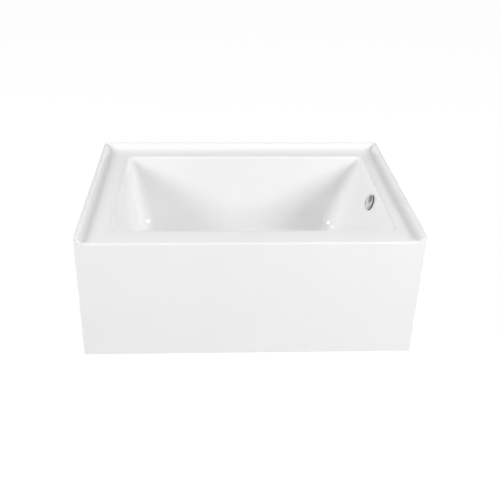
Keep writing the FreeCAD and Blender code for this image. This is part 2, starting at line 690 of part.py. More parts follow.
SCREW_REACH = "(size.rail_gauge + size.screw_grip)"
rail_screws, board_pilots = [], []
bracket_screws, rail_pilots = [], []
for side, x in SIDES.items():
    cross_rail(side, x)
    for across in (f"-{LIP_MIDDLE}", LIP_MIDDLE):
        for along in ("-size.rail_screw_y", "size.rail_screw_y"):
            number = len(rail_screws) + 1
            spot = {"x": f"{x} + {across}", "y": f"{BASIN_MID_Y} + {along}"}
            under_lip = f"{RAIL_TOP_Z} - size.rail_gauge"
            rail_screws.append(wood_screw(f"rail_screw_{number}", z=under_lip, grip=SCREW_REACH, **spot))
            board_pilots.append(
                cylinder(f"board_pilot_{number}", "size.screw_shank", "size.screw_grip", z=RAIL_TOP_Z, **spot)
            )

board_blank = box("base_board_blank", board_x, board_y, (RAIL_TOP_Z, BOARD_TOP_Z))
board_hole = cylinder(
    "base_board_hole", "size.board_cutout", f"size.board_thickness + {2 * CUT_MARGIN}",
    z=f"{RAIL_TOP_Z} - {CUT_MARGIN}", **drain_spot,
)
finished(cut("base_board", board_blank, [board_hole, *board_pilots]), "base_board")

for side, x in SIDES.items():
    label = f"apron_bracket_{side}"
    body = new_body(label)
    section = new_sketch(body, f"{label}_section", "YZ_Plane")
    outline(
        section,
        [
            ("0", "0"),
            ("size.bracket_leg", "0"),
            ("size.bracket_leg", "size.rail_gauge"),
            ("size.rail_gauge", "size.rail_gauge"),
            ("size.rail_gauge", "size.bracket_leg"),
            ("0", "size.bracket_leg"),
        ],
    )
    pad(body, section, "size.rail_width + 2 * size.rail_lip", f"{label}_angle", midplane=True)
    holes = new_sketch(body, f"{label}_holes", "XZ_Plane", f"-size.rail_gauge - {CUT_MARGIN}")
    for across in ("-size.bracket_screw_x", "size.bracket_screw_x"):
        circle(holes, across, "size.bracket_leg / 2", "size.screw_shank + size.screw_clearance")
    pocket(body, holes, f"{label}_holes_cut", length=f"size.rail_gauge + {2 * CUT_MARGIN}", upward=True)
    place(body, x=x, y=RAIL_FRONT_Y, z=RAIL_TOP_Z)
    finished(body, label)
    for across in ("-size.bracket_screw_x", "size.bracket_screw_x"):
        number = len(bracket_screws) + 1
        spot = {
            "x": f"{x} + {across}",
            "z": f"{RAIL_TOP_Z} + size.bracket_leg / 2",
            "axis": Vector(1, 0, 0),
            "angle": "90",
        }
        leg_face = f"{RAIL_FRONT_Y} + size.rail_gauge"
        bracket_screws.append(wood_screw(f"bracket_screw_{number}", y=leg_face, grip=SCREW_REACH, **spot))
        rail_pilots.append(
            cylinder(f"rail_pilot_{number}", "size.screw_shank", "size.screw_grip", y=RAIL_FRONT_Y, **spot)
        )
group("rail_screws", rail_screws)
group("bracket_screws", bracket_screws)
rail_blank = box("apron_rail_blank", apron_x, apron_rail_y, apron_rail_z)
finished(cut("apron_rail", rail_blank, rail_pilots), "apron_rail")

# ---------------------------------------------------------------- levelling feet

STUD_BORE = "(size.stud_radius + size.thread_clearance)"
PAD_FLOOR = "(size.pad_base + size.seat_gap)"
COLLAR_Z = "(size.pad_height + size.collar_gap)"
STUD_TOP = f"({RAIL_WEB_Z} + size.rail_gauge + size.stud_tip)"


def nut(name, corner, height, bore, **where):
    """A plain six-sided nut."""
    bar = hexagon(f"{name}_bar", corner, height, **where)
    hole = cylinder(f"{name}_bore", bore, height, **where)
    return cut(name, bar, [hole])


weld_nuts, lock_nuts = [], []
for end, y in ENDS.items():
    for side, x in SIDES.items():
        foot = f"foot_{end}_{side}"
        pad_outline = [
            ("0", "0"),
            ("size.pad_radius", "0"),
            ("size.pad_radius", "size.pad_base / 2"),
            ("size.pad_hub + size.pad_flare", "size.pad_base"),
            ("size.pad_hub", "size.pad_height"),
            (STUD_BORE, "size.pad_height"),
            (STUD_BORE, "size.pad_base"),
            ("0", "size.pad_base"),
        ]
        finished(turned(f"{foot}_pad", pad_outline, x=x, y=y), f"{foot}_pad")
        spot = {"x": x, "y": y}
        rod = cylinder(f"{foot}_rod", "size.stud_radius", f"{STUD_TOP} - {PAD_FLOOR}", z=PAD_FLOOR, **spot)
        spanner = hexagon(f"{foot}_spanner", "size.stud_hex", "size.stud_hex_height", z=COLLAR_Z, **spot)
        finished(fused(f"{foot}_stud", [rod, spanner]), f"{foot}_stud")
        for nuts, kind, low in (
            (weld_nuts, "weld_nut", f"{RAIL_WEB_Z} + size.rail_gauge"),
            (lock_nuts, "lock_nut", f"{RAIL_WEB_Z} - size.lock_nut_height"),
        ):
            height = f"size.{kind}_height"
            nuts.append(nut(f"{kind}_{end}_{side}", "size.nut_corner", height, STUD_BORE, z=low, **spot))
group("weld_nuts", weld_nuts)
group("lock_nuts", lock_nuts)

# ---------------------------------------------------------------- drain

FLANGE_LOW_Z = f"({SEAT_Z} + size.seal_thickness)"
FLANGE_TOP_Z = f"({FLANGE_LOW_Z} + size.drain_flange_rim)"
DRAIN_LOW_Z = f"({FLANGE_LOW_Z} - size.drain_body_length)"
BAR_TOP_Z = f"({DRAIN_LOW_Z} + size.bar_height)"
SHOE_TOP_Z = f"({BOARD_TOP_Z} - size.gasket_thickness)"
SHOE_BORE = "(size.drain_body + size.thread_clearance)"
SHOE_OUTSIDE = f"({SHOE_BORE} + size.shoe_wall)"
PIPE_BORE = "(size.pipe_radius - size.pipe_wall)"
SOCKET_BORE = "(size.pipe_radius + size.thread_clearance)"
SOCKET_OUTSIDE = f"({SOCKET_BORE} + size.socket_wall)"
POST_BORE = "(size.post_radius + size.thread_clearance)"

flange_outline = [
    ("size.drain_throat", "-size.throat_drop"),
    ("size.drain_throat + size.throat_bevel", "size.throat_rise"),
    ("size.drain_flange_radius - size.flange_slope", "size.drain_flange_rim"),
    ("size.drain_flange_radius - size.flange_flat", "size.drain_flange_rim"),
    ("size.drain_flange_radius", "size.drain_flange_rim - size.flange_flat"),
    ("size.drain_flange_radius", "0"),
    ("size.drain_body", "0"),
    ("size.drain_body", "-size.drain_body_length"),
    ("size.drain_throat", "-size.drain_body_length"),
]
flange_ring = turned("drain_flange_ring", flange_outline, z=FLANGE_LOW_Z, **drain_spot)
BAR_HALF = "(size.drain_throat + size.drain_body) / 2"
cross_bar = box(
    "drain_cross_bar",
    (f"{DRAIN_X} - {BAR_HALF}", f"{DRAIN_X} + {BAR_HALF}"),
    (f"{BASIN_MID_Y} - size.bar_width / 2", f"{BASIN_MID_Y} + size.bar_width / 2"),
    (DRAIN_LOW_Z, BAR_TOP_Z),
)
hub = cylinder("drain_hub", "size.hub_radius", "size.bar_height", z=DRAIN_LOW_Z, **drain_spot)
hub_bore = cylinder("drain_hub_bore", POST_BORE, "size.bar_height", z=DRAIN_LOW_Z, **drain_spot)
flange_solid = fused("drain_flange_solid", [flange_ring, cross_bar, hub])
finished(cut("drain_flange", flange_solid, [hub_bore]), "drain_flange")

seal_ring = tube_outline("size.drain_body + size.seat_gap", "size.drain_flange_radius - size.seat_gap",
                         "0", "size.seal_thickness")
finished(turned("flange_seal", seal_ring, z=SEAT_Z, **drain_spot), "flange_seal")
gasket_ring = tube_outline("size.drain_body + size.seat_gap", "size.shoe_flange",
                           "0", "size.gasket_thickness")
finished(turned("drain_gasket", gasket_ring, z=SHOE_TOP_Z, **drain_spot), "drain_gasket")

SHOE_LOW_Z = f"({WASTE_Z} - {SOCKET_OUTSIDE} - size.shoe_sump)"
along_pipe = {"y": BASIN_MID_Y, "z": WASTE_Z, "axis": Vector(0, 1, 0), "angle": "90"}
SHOE_END_X = f"({DRAIN_X} + size.shoe_socket)"
SHOE_SOCKET_X = f"({SHOE_END_X} - size.pipe_insert)"
shoe_solid = fused("drain_shoe_solid", [
    cylinder("shoe_barrel", SHOE_OUTSIDE, f"{SHOE_TOP_Z} - {SHOE_LOW_Z}", z=SHOE_LOW_Z, **drain_spot),
    cylinder("shoe_rim", "size.shoe_flange", "size.shoe_flange_height",
             z=f"{SHOE_TOP_Z} - size.shoe_flange_height", **drain_spot),
    cylinder("shoe_arm", SOCKET_OUTSIDE, "size.shoe_socket", x=DRAIN_X, **along_pipe),
])
SHOE_STEP_Z = f"({DRAIN_LOW_Z} - size.thread_clearance)"
WELL_LOW_Z = f"({WASTE_Z} - {PIPE_BORE} - size.shoe_sump)"
finished(cut("drain_shoe", shoe_solid, [
    cylinder("shoe_thread", SHOE_BORE, f"{SHOE_TOP_Z} - {SHOE_STEP_Z}", z=SHOE_STEP_Z, **drain_spot),
    cylinder("shoe_well", "size.drain_throat", f"{SHOE_TOP_Z} - {WELL_LOW_Z}", z=WELL_LOW_Z, **drain_spot),
    cylinder("shoe_passage", PIPE_BORE, "size.shoe_socket", x=DRAIN_X, **along_pipe),
    cylinder("shoe_socket_bore", SOCKET_BORE, "size.pipe_insert", x=SHOE_SOCKET_X, **along_pipe),
]), "drain_shoe")

# ---------------------------------------------------------------- waste pipe and overflow


def behind_wall(distance):
    """A spot on the overflow's axis, a distance outside the basin's end wall."""
    spot = overflow_place()
    spot["x"] += f" + ({distance}) * cos(size.slope_right)"
    spot["z"] += f" - ({distance}) * sin(size.slope_right)"
    return spot


pipe_spot = behind_wall("size.elbow_reach")
PIPE_X, ELBOW_Z = f"({pipe_spot['x']})", f"({pipe_spot['z']})"
down_pipe = {"x": PIPE_X, "y": BASIN_MID_Y}
TEE_LOW_Z = f"({WASTE_Z} - size.tee_arm)"
TEE_HIGH_Z = f"({WASTE_Z} + size.tee_arm)"
TEE_SOCKET_Z = f"({TEE_HIGH_Z} - size.pipe_insert)"
TEE_SIDE_X = f"({PIPE_X} - size.tee_arm)"
ELBOW_END_Z = f"({ELBOW_Z} - size.elbow_drop)"
tee_solid = fused("waste_tee_solid", [
    cylinder("tee_run", SOCKET_OUTSIDE, "2 * size.tee_arm", z=TEE_LOW_Z, **down_pipe),
    cylinder("tee_branch", SOCKET_OUTSIDE, "size.tee_arm", x=TEE_SIDE_X, **along_pipe),
])
finished(cut("waste_tee", tee_solid, [
    cylinder("tee_run_bore", PIPE_BORE, "2 * size.tee_arm", z=TEE_LOW_Z, **down_pipe),
    cylinder("tee_branch_bore", PIPE_BORE, "size.tee_arm", x=TEE_SIDE_X, **along_pipe),
    cylinder("tee_low_socket", SOCKET_BORE, "size.pipe_insert", z=TEE_LOW_Z, **down_pipe),
    cylinder("tee_high_socket", SOCKET_BORE, "size.pipe_insert", z=TEE_SOCKET_Z, **down_pipe),
    cylinder("tee_side_socket", SOCKET_BORE, "size.pipe_insert", x=TEE_SIDE_X, **along_pipe),
]), "waste_tee")


def pipe(label, low, high, **where):
    """A straight length of waste pipe between two heights on its own axis."""
    ring = tube_outline(PIPE_BORE, "size.pipe_radius", low, high)
    return finished(turned(label, ring, **where), label)


level_pipe = dict(along_pipe, x="0")
pipe("shoe_tube", SHOE_SOCKET_X, f"{TEE_SIDE_X} + size.pipe_insert", **level_pipe)
pipe("overflow_tube", TEE_SOCKET_Z, f"{ELBOW_END_Z} + size.pipe_insert", **down_pipe)
TAIL_FREE_Z = f"({TEE_LOW_Z} - size.slip_nut_lip - size.slip_washer_length)"
TAIL_FITTED = "(size.pipe_radius - size.tailpiece_step)"
TAIL_LOW_Z = f"({TAIL_FREE_Z} - size.tailpiece_low)"
tail_outline = [
    (PIPE_BORE, TAIL_LOW_Z),
    ("size.pipe_radius", TAIL_LOW_Z),
    ("size.pipe_radius", TAIL_FREE_Z),
    (TAIL_FITTED, TAIL_FREE_Z),
    (TAIL_FITTED, f"{TEE_LOW_Z} + size.pipe_insert"),
    (PIPE_BORE, f"{TEE_LOW_Z} + size.pipe_insert"),
]
finished(turned("tailpiece", tail_outline, **down_pipe), "tailpiece")

ELBOW_FACE = f"({LAYERS} + size.overflow_gasket)"
ELBOW_BARREL = "(size.retainer_sleeve + size.thread_clearance + size.socket_wall)"
ELBOW_BACK = f"(size.elbow_reach + {SOCKET_OUTSIDE})"
ELBOW_WELL = f"(size.elbow_reach + {PIPE_BORE})"
elbow_solid = fused("overflow_elbow_solid", [
    cylinder("elbow_flange_disc", "size.overflow_flange", "size.elbow_flange",
             **behind_wall(f"{ELBOW_FACE} + size.elbow_flange")),
    cylinder("elbow_barrel", ELBOW_BARREL, f"{ELBOW_BACK} - {ELBOW_FACE}", **behind_wall(ELBOW_BACK)),
    cylinder("elbow_leg", SOCKET_OUTSIDE, "size.elbow_drop", z=ELBOW_END_Z, **down_pipe),
])
finished(cut("overflow_elbow", elbow_solid, [
    cylinder("elbow_thread", "size.retainer_sleeve + size.thread_clearance", f"{ELBOW_WELL} - {ELBOW_FACE}",
             **behind_wall(ELBOW_WELL)),
    cylinder("elbow_leg_bore", PIPE_BORE, "size.elbow_drop", z=ELBOW_END_Z, **down_pipe),
    cylinder("elbow_socket", SOCKET_BORE, "size.pipe_insert", z=ELBOW_END_Z, **down_pipe),
]), "overflow_elbow")

wall_ring = tube_outline("size.overflow_hole - size.screw_clearance", "size.overflow_flange",
                         f"-{ELBOW_FACE}", f"-{LAYERS}")
finished(turned("overflow_gasket", wall_ring, **overflow_place()), "overflow_gasket")
COVER_INSIDE = "(size.overflow_cover_radius - size.overflow_cover_wall)"
RETAINER_RIM = f"({COVER_INSIDE} - size.thread_clearance)"
retainer_outline = [
    ("size.retainer_bore", "-size.retainer_length"),
    ("size.retainer_sleeve", "-size.retainer_length"),
    ("size.retainer_sleeve", "0"),
    (RETAINER_RIM, "0"),
    (RETAINER_RIM, "size.retainer_flange / 2"),
    (f"{RETAINER_RIM} - size.retainer_flange", "size.retainer_flange"),
    ("size.retainer_bore", "size.retainer_flange"),
]
finished(turned("overflow_retainer", retainer_outline, **overflow_place()), "overflow_retainer")

DOME_RISE = "(size.overflow_cover_height - size.overflow_cover_band)"
DOME_RADIUS = f"((size.overflow_cover_radius ^ 2 + {DOME_RISE} ^ 2) / (2 * {DOME_RISE}))"
DOME_INSIDE = f"({DOME_RADIUS} - size.overflow_cover_wall)"
DOME_EDGE = f"(size.overflow_cover_height - {DOME_RADIUS} + sqrt({DOME_INSIDE} ^ 2 - {COVER_INSIDE} ^ 2))"
cover_outline = [
    (COVER_INSIDE, "0"),
    ("size.overflow_cover_radius", "0"),
    ("size.overflow_cover_radius", "size.overflow_cover_band", DOME_RADIUS, "right"),
    ("0", "size.overflow_cover_height"),
    ("0", "size.overflow_cover_height - size.overflow_cover_wall", DOME_INSIDE),
    (COVER_INSIDE, DOME_EDGE),
]
cover = turned("overflow_cover", cover_outline, **overflow_place())
inlet = new_sketch(cover, "overflow_inlet", "XY_Plane")
circle(inlet, "-size.overflow_inlet_drop", "0", "size.overflow_inlet")
pocket(cover, inlet, "overflow_inlet_cut")
finished(cover, "overflow_cover")

# slip joints: each nut draws a washer against the end of its socket
NUT_SIDES = 8
NUT_GRIP = "(size.slip_nut_length - size.slip_nut_lip - size.slip_washer_length)"
LIP_START = "size.slip_washer_length"
slip_washers = []


def slip_joint(name, x, z, axis=None, angle=None):
    """A slip nut and its washer; their own axis leaves the fitting at its end face."""
    body = new_body(f"{name}_washer")
    sketch = new_sketch(body, f"{name}_washer_outline", "XZ_Plane")
    outline(sketch, tube_outline(SOCKET_BORE, SOCKET_OUTSIDE, "0", LIP_START))
    revolve(body, sketch, f"{name}_washer_turned")
    slip_washers.append(place(body, x=x, y=BASIN_MID_Y, z=z, axis=axis, angle=angle))
    shell = new_body(name)
    eight = new_sketch(shell, f"{name}_outline", "XY_Plane", f"-{NUT_GRIP}")
    corner = f"({SOCKET_OUTSIDE} + size.slip_nut_wall)"
    turns = [f"{(i + 0.5) * FULL_TURN / NUT_SIDES}" for i in range(NUT_SIDES)]
    outline(eight, [(f"{corner} * cos({turn})", f"{corner} * sin({turn})") for turn in turns])
    pad(shell, eight, "size.slip_nut_length", f"{name}_bar")
    thread = new_sketch(shell, f"{name}_thread", "XY_Plane", LIP_START)
    circle(thread, "0", "0", f"{SOCKET_OUTSIDE} + size.thread_clearance")
    pocket(shell, thread, f"{name}_thread_cut", length=f"size.slip_nut_length + {CUT_MARGIN}")
    lip = new_sketch(shell, f"{name}_lip", "XY_Plane")
    circle(lip, "0", "0", SOCKET_BORE)
    pocket(shell, lip, f"{name}_lip_cut")
    place(shell, x=x, y=BASIN_MID_Y, z=z, axis=axis, angle=angle)
    return finished(shell, name)


slip_joint("tee_nut_low", PIPE_X, TEE_LOW_Z, Vector(0, 1, 0), "180")
slip_joint("tee_nut_high", PIPE_X, TEE_HIGH_Z)
slip_joint("tee_nut_side", TEE_SIDE_X, WASTE_Z, Vector(0, 1, 0), "-90")
slip_joint("elbow_nut", PIPE_X, ELBOW_END_Z, Vector(0, 1, 0), "180")
slip_joint("shoe_nut", SHOE_END_X, WASTE_Z, Vector(0, 1, 0), "90")
group("slip_washers", slip_washers)

# ---------------------------------------------------------------- stopper

SEAL_LOW_Z = f"({FLANGE_LOW_Z} + size.throat_rise + size.seat_gap)"
CAP_LOW_Z = f"({SEAL_LOW_Z} + size.seal_height)"
POST_TOP_Z = f"({CAP_LOW_Z} - size.post_gap)"
COLLAR_TOP_Z = f"({CAP_LOW_Z} - size.seat_gap)"
SLEEVE_BORE = "(size.collar_radius + size.thread_clearance)"
SLEEVE_LOW_Z = f"({CAP_LOW_Z} - size.sleeve_length)"
SEAL_RADIUS = "(size.drain_throat + size.throat_bevel)"
post_outline = [
    ("0", DRAIN_LOW_Z),
    ("size.post_radius", DRAIN_LOW_Z),
    ("size.post_radius", BAR_TOP_Z),
    ("size.post_shoulder", BAR_TOP_Z),
    ("size.post_shoulder", f"{BAR_TOP_Z} + size.shoulder_height"),
    ("size.post_radius", f"{BAR_TOP_Z} + size.shoulder_height"),
    ("size.post_radius", POST_TOP_Z),
    ("0", POST_TOP_Z),
]
finished(turned("stopper_post", post_outline, **drain_spot), "stopper_post")
COLLAR_LOW_Z = f"({COLLAR_TOP_Z} - size.collar_length)"
collar_ring = tube_outline(POST_BORE, "size.collar_radius", COLLAR_LOW_Z, COLLAR_TOP_Z)
finished(turned("stopper_collar", collar_ring, **drain_spot), "stopper_collar")
seal_outline = tube_outline("size.sleeve_radius", SEAL_RADIUS, SEAL_LOW_Z, CAP_LOW_Z)
finished(turned("stopper_seal", seal_outline, **drain_spot), "stopper_seal")
CAP_RIM_Z = f"({CAP_LOW_Z} + size.cap_thickness)"
CROWN_Z = f"({CAP_RIM_Z} + size.cap_crown)"
KNOB_TOP_Z = f"({CROWN_Z} + size.knob_height)"
cap_outline = [
    ("0", CAP_LOW_Z),
    (SLEEVE_BORE, CAP_LOW_Z),
    (SLEEVE_BORE, SLEEVE_LOW_Z),
    ("size.sleeve_radius", SLEEVE_LOW_Z),
    ("size.sleeve_radius", CAP_LOW_Z),
    ("size.cap_radius", CAP_LOW_Z),
    ("size.cap_radius", f"{CAP_LOW_Z} + size.cap_thickness / 2"),
    ("size.cap_radius - size.cap_thickness / 2", CAP_RIM_Z),
    ("size.knob_neck", CROWN_Z),
    ("size.knob_neck", f"{CROWN_Z} + size.knob_height / 3"),
    ("size.knob_radius", f"{CROWN_Z} + size.knob_height / 2"),
    ("size.knob_radius", f"{KNOB_TOP_Z} - size.cap_thickness / 2"),
    ("size.knob_radius - size.cap_thickness / 2", KNOB_TOP_Z),
    ("0", KNOB_TOP_Z),
]
finished(turned("stopper_cap", cap_outline, **drain_spot), "stopper_cap")

# ---------------------------------------------------------------- check and write

doc.recompute()
for thing in doc.Objects:
    if "Invalid" in thing.State or "Error" in thing.State:
        raise RuntimeError(f"{thing.Name} did not build: {thing.State}")
labels = [thing.Label for thing in sub_parts]
if len(set(labels)) != len(labels):
    raise RuntimeError("two sub-parts share a name")
for thing in sub_parts:
    if thing.Shape.isNull() or not thing.Shape.isValid() or not thing.Shape.Solids:
        raise RuntimeError(f"{thing.Label} has no valid solid")
os.makedirs("parts", exist_ok=True)
for thing in sub_parts:
    thing.Shape.exportStep(os.path.join("parts", f"{thing.Label}.step"))
    print(f"{thing.Label}: {len(thing.Shape.Solids)} solid(s), {thing.Shape.Volume / 1000:.1f} cm3")
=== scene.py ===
import json
import math

import bmesh
import bpy
from bpy.props import FloatProperty, FloatVectorProperty, IntProperty, PointerProperty
from mathutils import Matrix, Vector

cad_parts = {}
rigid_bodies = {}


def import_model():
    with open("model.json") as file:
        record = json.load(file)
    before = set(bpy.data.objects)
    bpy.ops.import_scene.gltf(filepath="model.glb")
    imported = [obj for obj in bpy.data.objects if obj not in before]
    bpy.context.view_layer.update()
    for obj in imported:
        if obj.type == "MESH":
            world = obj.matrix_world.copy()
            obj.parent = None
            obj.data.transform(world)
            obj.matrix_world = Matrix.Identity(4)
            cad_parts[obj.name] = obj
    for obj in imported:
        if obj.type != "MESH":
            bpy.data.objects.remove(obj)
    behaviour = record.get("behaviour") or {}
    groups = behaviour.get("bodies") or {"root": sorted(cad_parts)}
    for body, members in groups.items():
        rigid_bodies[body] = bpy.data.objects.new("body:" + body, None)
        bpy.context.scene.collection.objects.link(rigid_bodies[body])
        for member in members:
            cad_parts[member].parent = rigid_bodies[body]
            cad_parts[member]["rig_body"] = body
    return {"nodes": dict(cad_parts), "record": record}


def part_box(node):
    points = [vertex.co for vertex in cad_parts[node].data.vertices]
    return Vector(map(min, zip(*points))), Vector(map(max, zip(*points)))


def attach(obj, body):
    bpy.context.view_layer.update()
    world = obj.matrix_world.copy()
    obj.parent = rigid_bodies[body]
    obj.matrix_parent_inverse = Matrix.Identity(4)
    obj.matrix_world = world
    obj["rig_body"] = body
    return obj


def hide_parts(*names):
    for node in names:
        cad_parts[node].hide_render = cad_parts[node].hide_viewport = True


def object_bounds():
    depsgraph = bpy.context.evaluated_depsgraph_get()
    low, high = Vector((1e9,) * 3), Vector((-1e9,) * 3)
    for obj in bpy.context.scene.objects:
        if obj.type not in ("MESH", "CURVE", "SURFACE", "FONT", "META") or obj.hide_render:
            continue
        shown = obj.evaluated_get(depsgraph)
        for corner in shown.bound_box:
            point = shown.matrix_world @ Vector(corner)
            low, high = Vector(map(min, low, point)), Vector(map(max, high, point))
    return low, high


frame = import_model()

bl_info = {
    "name": "Alcove bathtub",
    "version": (1, 0, 0),
    "blender": (4, 5, 0),
    "location": "View3D > Sidebar > Bathtub",
    "description": "Finishes an alcove bathtub round its packed construction and sets up the studio",
    "category": "Object",
}

# The frame's own box, kept before any piece of the looks is added.
CAD_BOX = [list(corner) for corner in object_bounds()]
NODES = frame["nodes"]
BODY_OF = {name: node["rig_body"] for name, node in NODES.items()}
SLOT_OF = {part["node"]: part["material_slot"] for part in frame["record"]["subparts"]}

# Photograph: a square picture whose camera axis meets it left of and above the middle.
PICTURE_SIDE = 500.0
AXIS_PIXEL = (235.0, 170.0)
FOCAL_PIXELS = 680.0
SENSOR = 36.0            # mm

WHITE = (1.0, 1.0, 1.0, 1.0)
FLOOR_ROUGHNESS = 0.9
WALL_TOP = 0.7           # upward part of a direction at which the walls' light has faded out

# Shaping. Lengths are in metres and angles in degrees.
CORNER_MERGE = 2e-6      # carried-over corners as close as this are one
TURNED_MERGE = 1e-6      # the same where a turned form closes on itself
FLAT_WITHIN = 0.4        # faces as level with each other as this are one
SHARP_ANGLE = 28.0       # an edge is rounded where its faces meet at more than this
CRISP_ANGLE = 32.0       # a finished edge is shaded as a corner from this angle on
CORNER_STEPS = 5         # faces in the rounded corner of an outline
FLANGE_ANGLE = 40.0      # least angle at the tile flange's edges
FLANGE_WITHIN = 1e-4     # how far below the tub's top those edges may lie
THIN_WALL = 3            # a thin pipe's edges are rounded this many times less than a fitting's

# Levelling studs. The notch is one turn of the thread, as shares of pitch and of depth below the crest.
THREAD_NOTCH = ((0.0, 1.0), (0.125, 1.0), (0.5, 0.0), (0.625, 0.0), (1.0, 1.0))
THREAD_SPARE = 2         # turns below the stud's lower end, cut away later
THREAD_STEPS = 24        # faces round one turn
STUD_RADIUS = 0.005
COLLAR_SIDES = 6
COLLAR_DEPTH = 0.006
COLLAR_HEIGHT = 0.021    # its middle, above the floor
COLLAR_ROUND = 0.0005

# Foot pads, as shares of the pad's radius and height. Thickness and roundings are lengths.
PAD_OUTLINE = (
    (0.0, 0.0), (1.0, 0.0, 0.0006), (1.0, 0.2, 0.0012), (0.62, 0.26, 0.002), (0.46, 0.42, 0.002),
    (0.44, 1.0, 0.001), (0.22, 1.0), (0.22, 0.33), (0.0, 0.33),
)
RIB_LENGTH = 0.5
RIB_HEIGHT = 0.5
RIB_FALL = 0.36          # drop of the rib's outer end
RIB_OUT, RIB_UP = 0.66, 0.42
RIB_THICK = 0.0018
RIB_ROUND = 0.0003

# Small parts on the overflow's own axis, from the end wall outwards.
COVER_SCREW = (
    (0.0, 0.0192), (0.0027, 0.0192), (0.0027, 0.0197, 0.0002), (0.0021, 0.0200, 0.0002),
    (0.0011, 0.0200), (0.0011, 0.0195), (0.0, 0.0195),
)
# The black rubber ring at the cover's foot is painted shade: it stands for the dark shadow gap between the
# cover's rim and the end wall.
COVER_SHADOW_RING = ((0.0321, 0.0), (0.0326, 0.0), (0.0326, 0.0045, 0.0004), (0.0321, 0.0045))
SCREW_STEPS = 32


# ---------------------------------------------------------------- sizes and colours


class FinishColours(bpy.types.PropertyGroup):
    """Colours of the finishes, as linear light."""

    acrylic: FloatVectorProperty(
        name="Acrylic", description="Glossy white sheet of the tub",
        default=(0.87, 0.87, 0.868), size=3, subtype="COLOR", min=0.0, max=1.0)
    resin: FloatVectorProperty(
        name="Resin", description="Cured resin of the laminate",
        default=(0.62, 0.58, 0.46), size=3, subtype="COLOR", min=0.0, max=1.0)
    fibre: FloatVectorProperty(
        name="Glass fibre", description="Chopped strands that show through the resin",
        default=(0.78, 0.76, 0.68), size=3, subtype="COLOR", min=0.0, max=1.0)
    softwood: FloatVectorProperty(
        name="Softwood", description="Planed timber of battens and rail",
        default=(0.60, 0.41, 0.22), size=3, subtype="COLOR", min=0.0, max=1.0)
    latewood: FloatVectorProperty(
        name="Latewood", description="Dark bands of the timber's grain",
        default=(0.36, 0.20, 0.085), size=3, subtype="COLOR", min=0.0, max=1.0)
    chip: FloatVectorProperty(
        name="Chipboard", description="Pale chips of the boards",
        default=(0.52, 0.37, 0.21), size=3, subtype="COLOR", min=0.0, max=1.0)
    chip_dark: FloatVectorProperty(
        name="Dark chips", description="Darker chips of the boards",
        default=(0.27, 0.16, 0.08), size=3, subtype="COLOR", min=0.0, max=1.0)
    zinc: FloatVectorProperty(
        name="Zinc", description="Hot-dip zinc on rails and brackets",
        default=(0.50, 0.52, 0.54), size=3, subtype="COLOR", min=0.0, max=1.0)
    plating: FloatVectorProperty(
        name="Zinc plating", description="Bright plating of screws, nuts and studs",
        default=(0.62, 0.60, 0.52), size=3, subtype="COLOR", min=0.0, max=1.0)
    chrome: FloatVectorProperty(
        name="Chrome", description="Polished chrome of drain and overflow",
        default=(0.74, 0.75, 0.76), size=3, subtype="COLOR", min=0.0, max=1.0)
    brass: FloatVectorProperty(
        name="Brass", description="Turned brass of the stopper's post",
        default=(0.72, 0.47, 0.17), size=3, subtype="COLOR", min=0.0, max=1.0)
    rubber: FloatVectorProperty(
        name="Rubber", description="Black rubber of the seals",
        default=(0.018, 0.018, 0.019), size=3, subtype="COLOR", min=0.0, max=1.0)
    pipe: FloatVectorProperty(
        name="Pipe plastic", description="White plastic of pipes and fittings",
        default=(0.72, 0.72, 0.69), size=3, subtype="COLOR", min=0.0, max=1.0)
    nut: FloatVectorProperty(
        name="Nut plastic", description="Off-white plastic of the slip nuts",
        default=(0.62, 0.62, 0.58), size=3, subtype="COLOR", min=0.0, max=1.0)
    pad: FloatVectorProperty(
        name="Foot plastic", description="Black plastic of the feet",
        default=(0.02, 0.02, 0.022), size=3, subtype="COLOR", min=0.0, max=1.0)


class PieceSizes(bpy.types.PropertyGroup):
    """Roundings, threads and small parts that the construction leaves plain."""

    flange_round: FloatProperty(
        name="Tile flange rounding", description="Rounding of the tile flange's top edges",
        default=0.0026, unit="LENGTH")
    board_round: FloatProperty(
        name="Board rounding", description="Worn edges of boards and timber", default=0.0012, unit="LENGTH")
    steel_round: FloatProperty(
        name="Steel rounding", description="Bends and deburred edges of the steelwork",
        default=0.0007, unit="LENGTH")
    fitting_round: FloatProperty(
        name="Fitting rounding", description="Moulded edges of fittings and nuts",
        default=0.0009, unit="LENGTH")
    fine_round: FloatProperty(
        name="Fine rounding", description="Edges of the gaskets, the drain's flange and the overflow's cover",
        default=0.0005, unit="LENGTH")
    thread_pitch: FloatProperty(
        name="Stud pitch", description="Rise of the levelling studs' thread in one turn",
        default=0.0015, unit="LENGTH")
    thread_depth: FloatProperty(
        name="Stud thread depth", description="Crest to root of the levelling studs' thread",
        default=0.0008, unit="LENGTH")
    pad_ribs: IntProperty(name="Pad ribs", description="Ribs round each foot pad's hub", default=12, min=3)
    overflow_foot: FloatVectorProperty(
        name="Overflow place", description="Where the overflow's own axis leaves the end wall",
        default=(0.50694, -0.0035, 0.42), size=3, subtype="TRANSLATION", unit="LENGTH")
    overflow_slope: FloatProperty(
        name="Overflow slope", description="Lean of the drain end wall from upright",
        default=0.33161, subtype="ANGLE")
    round_steps: IntProperty(name="Steps", description="Faces round a turned piece", default=96, min=12)


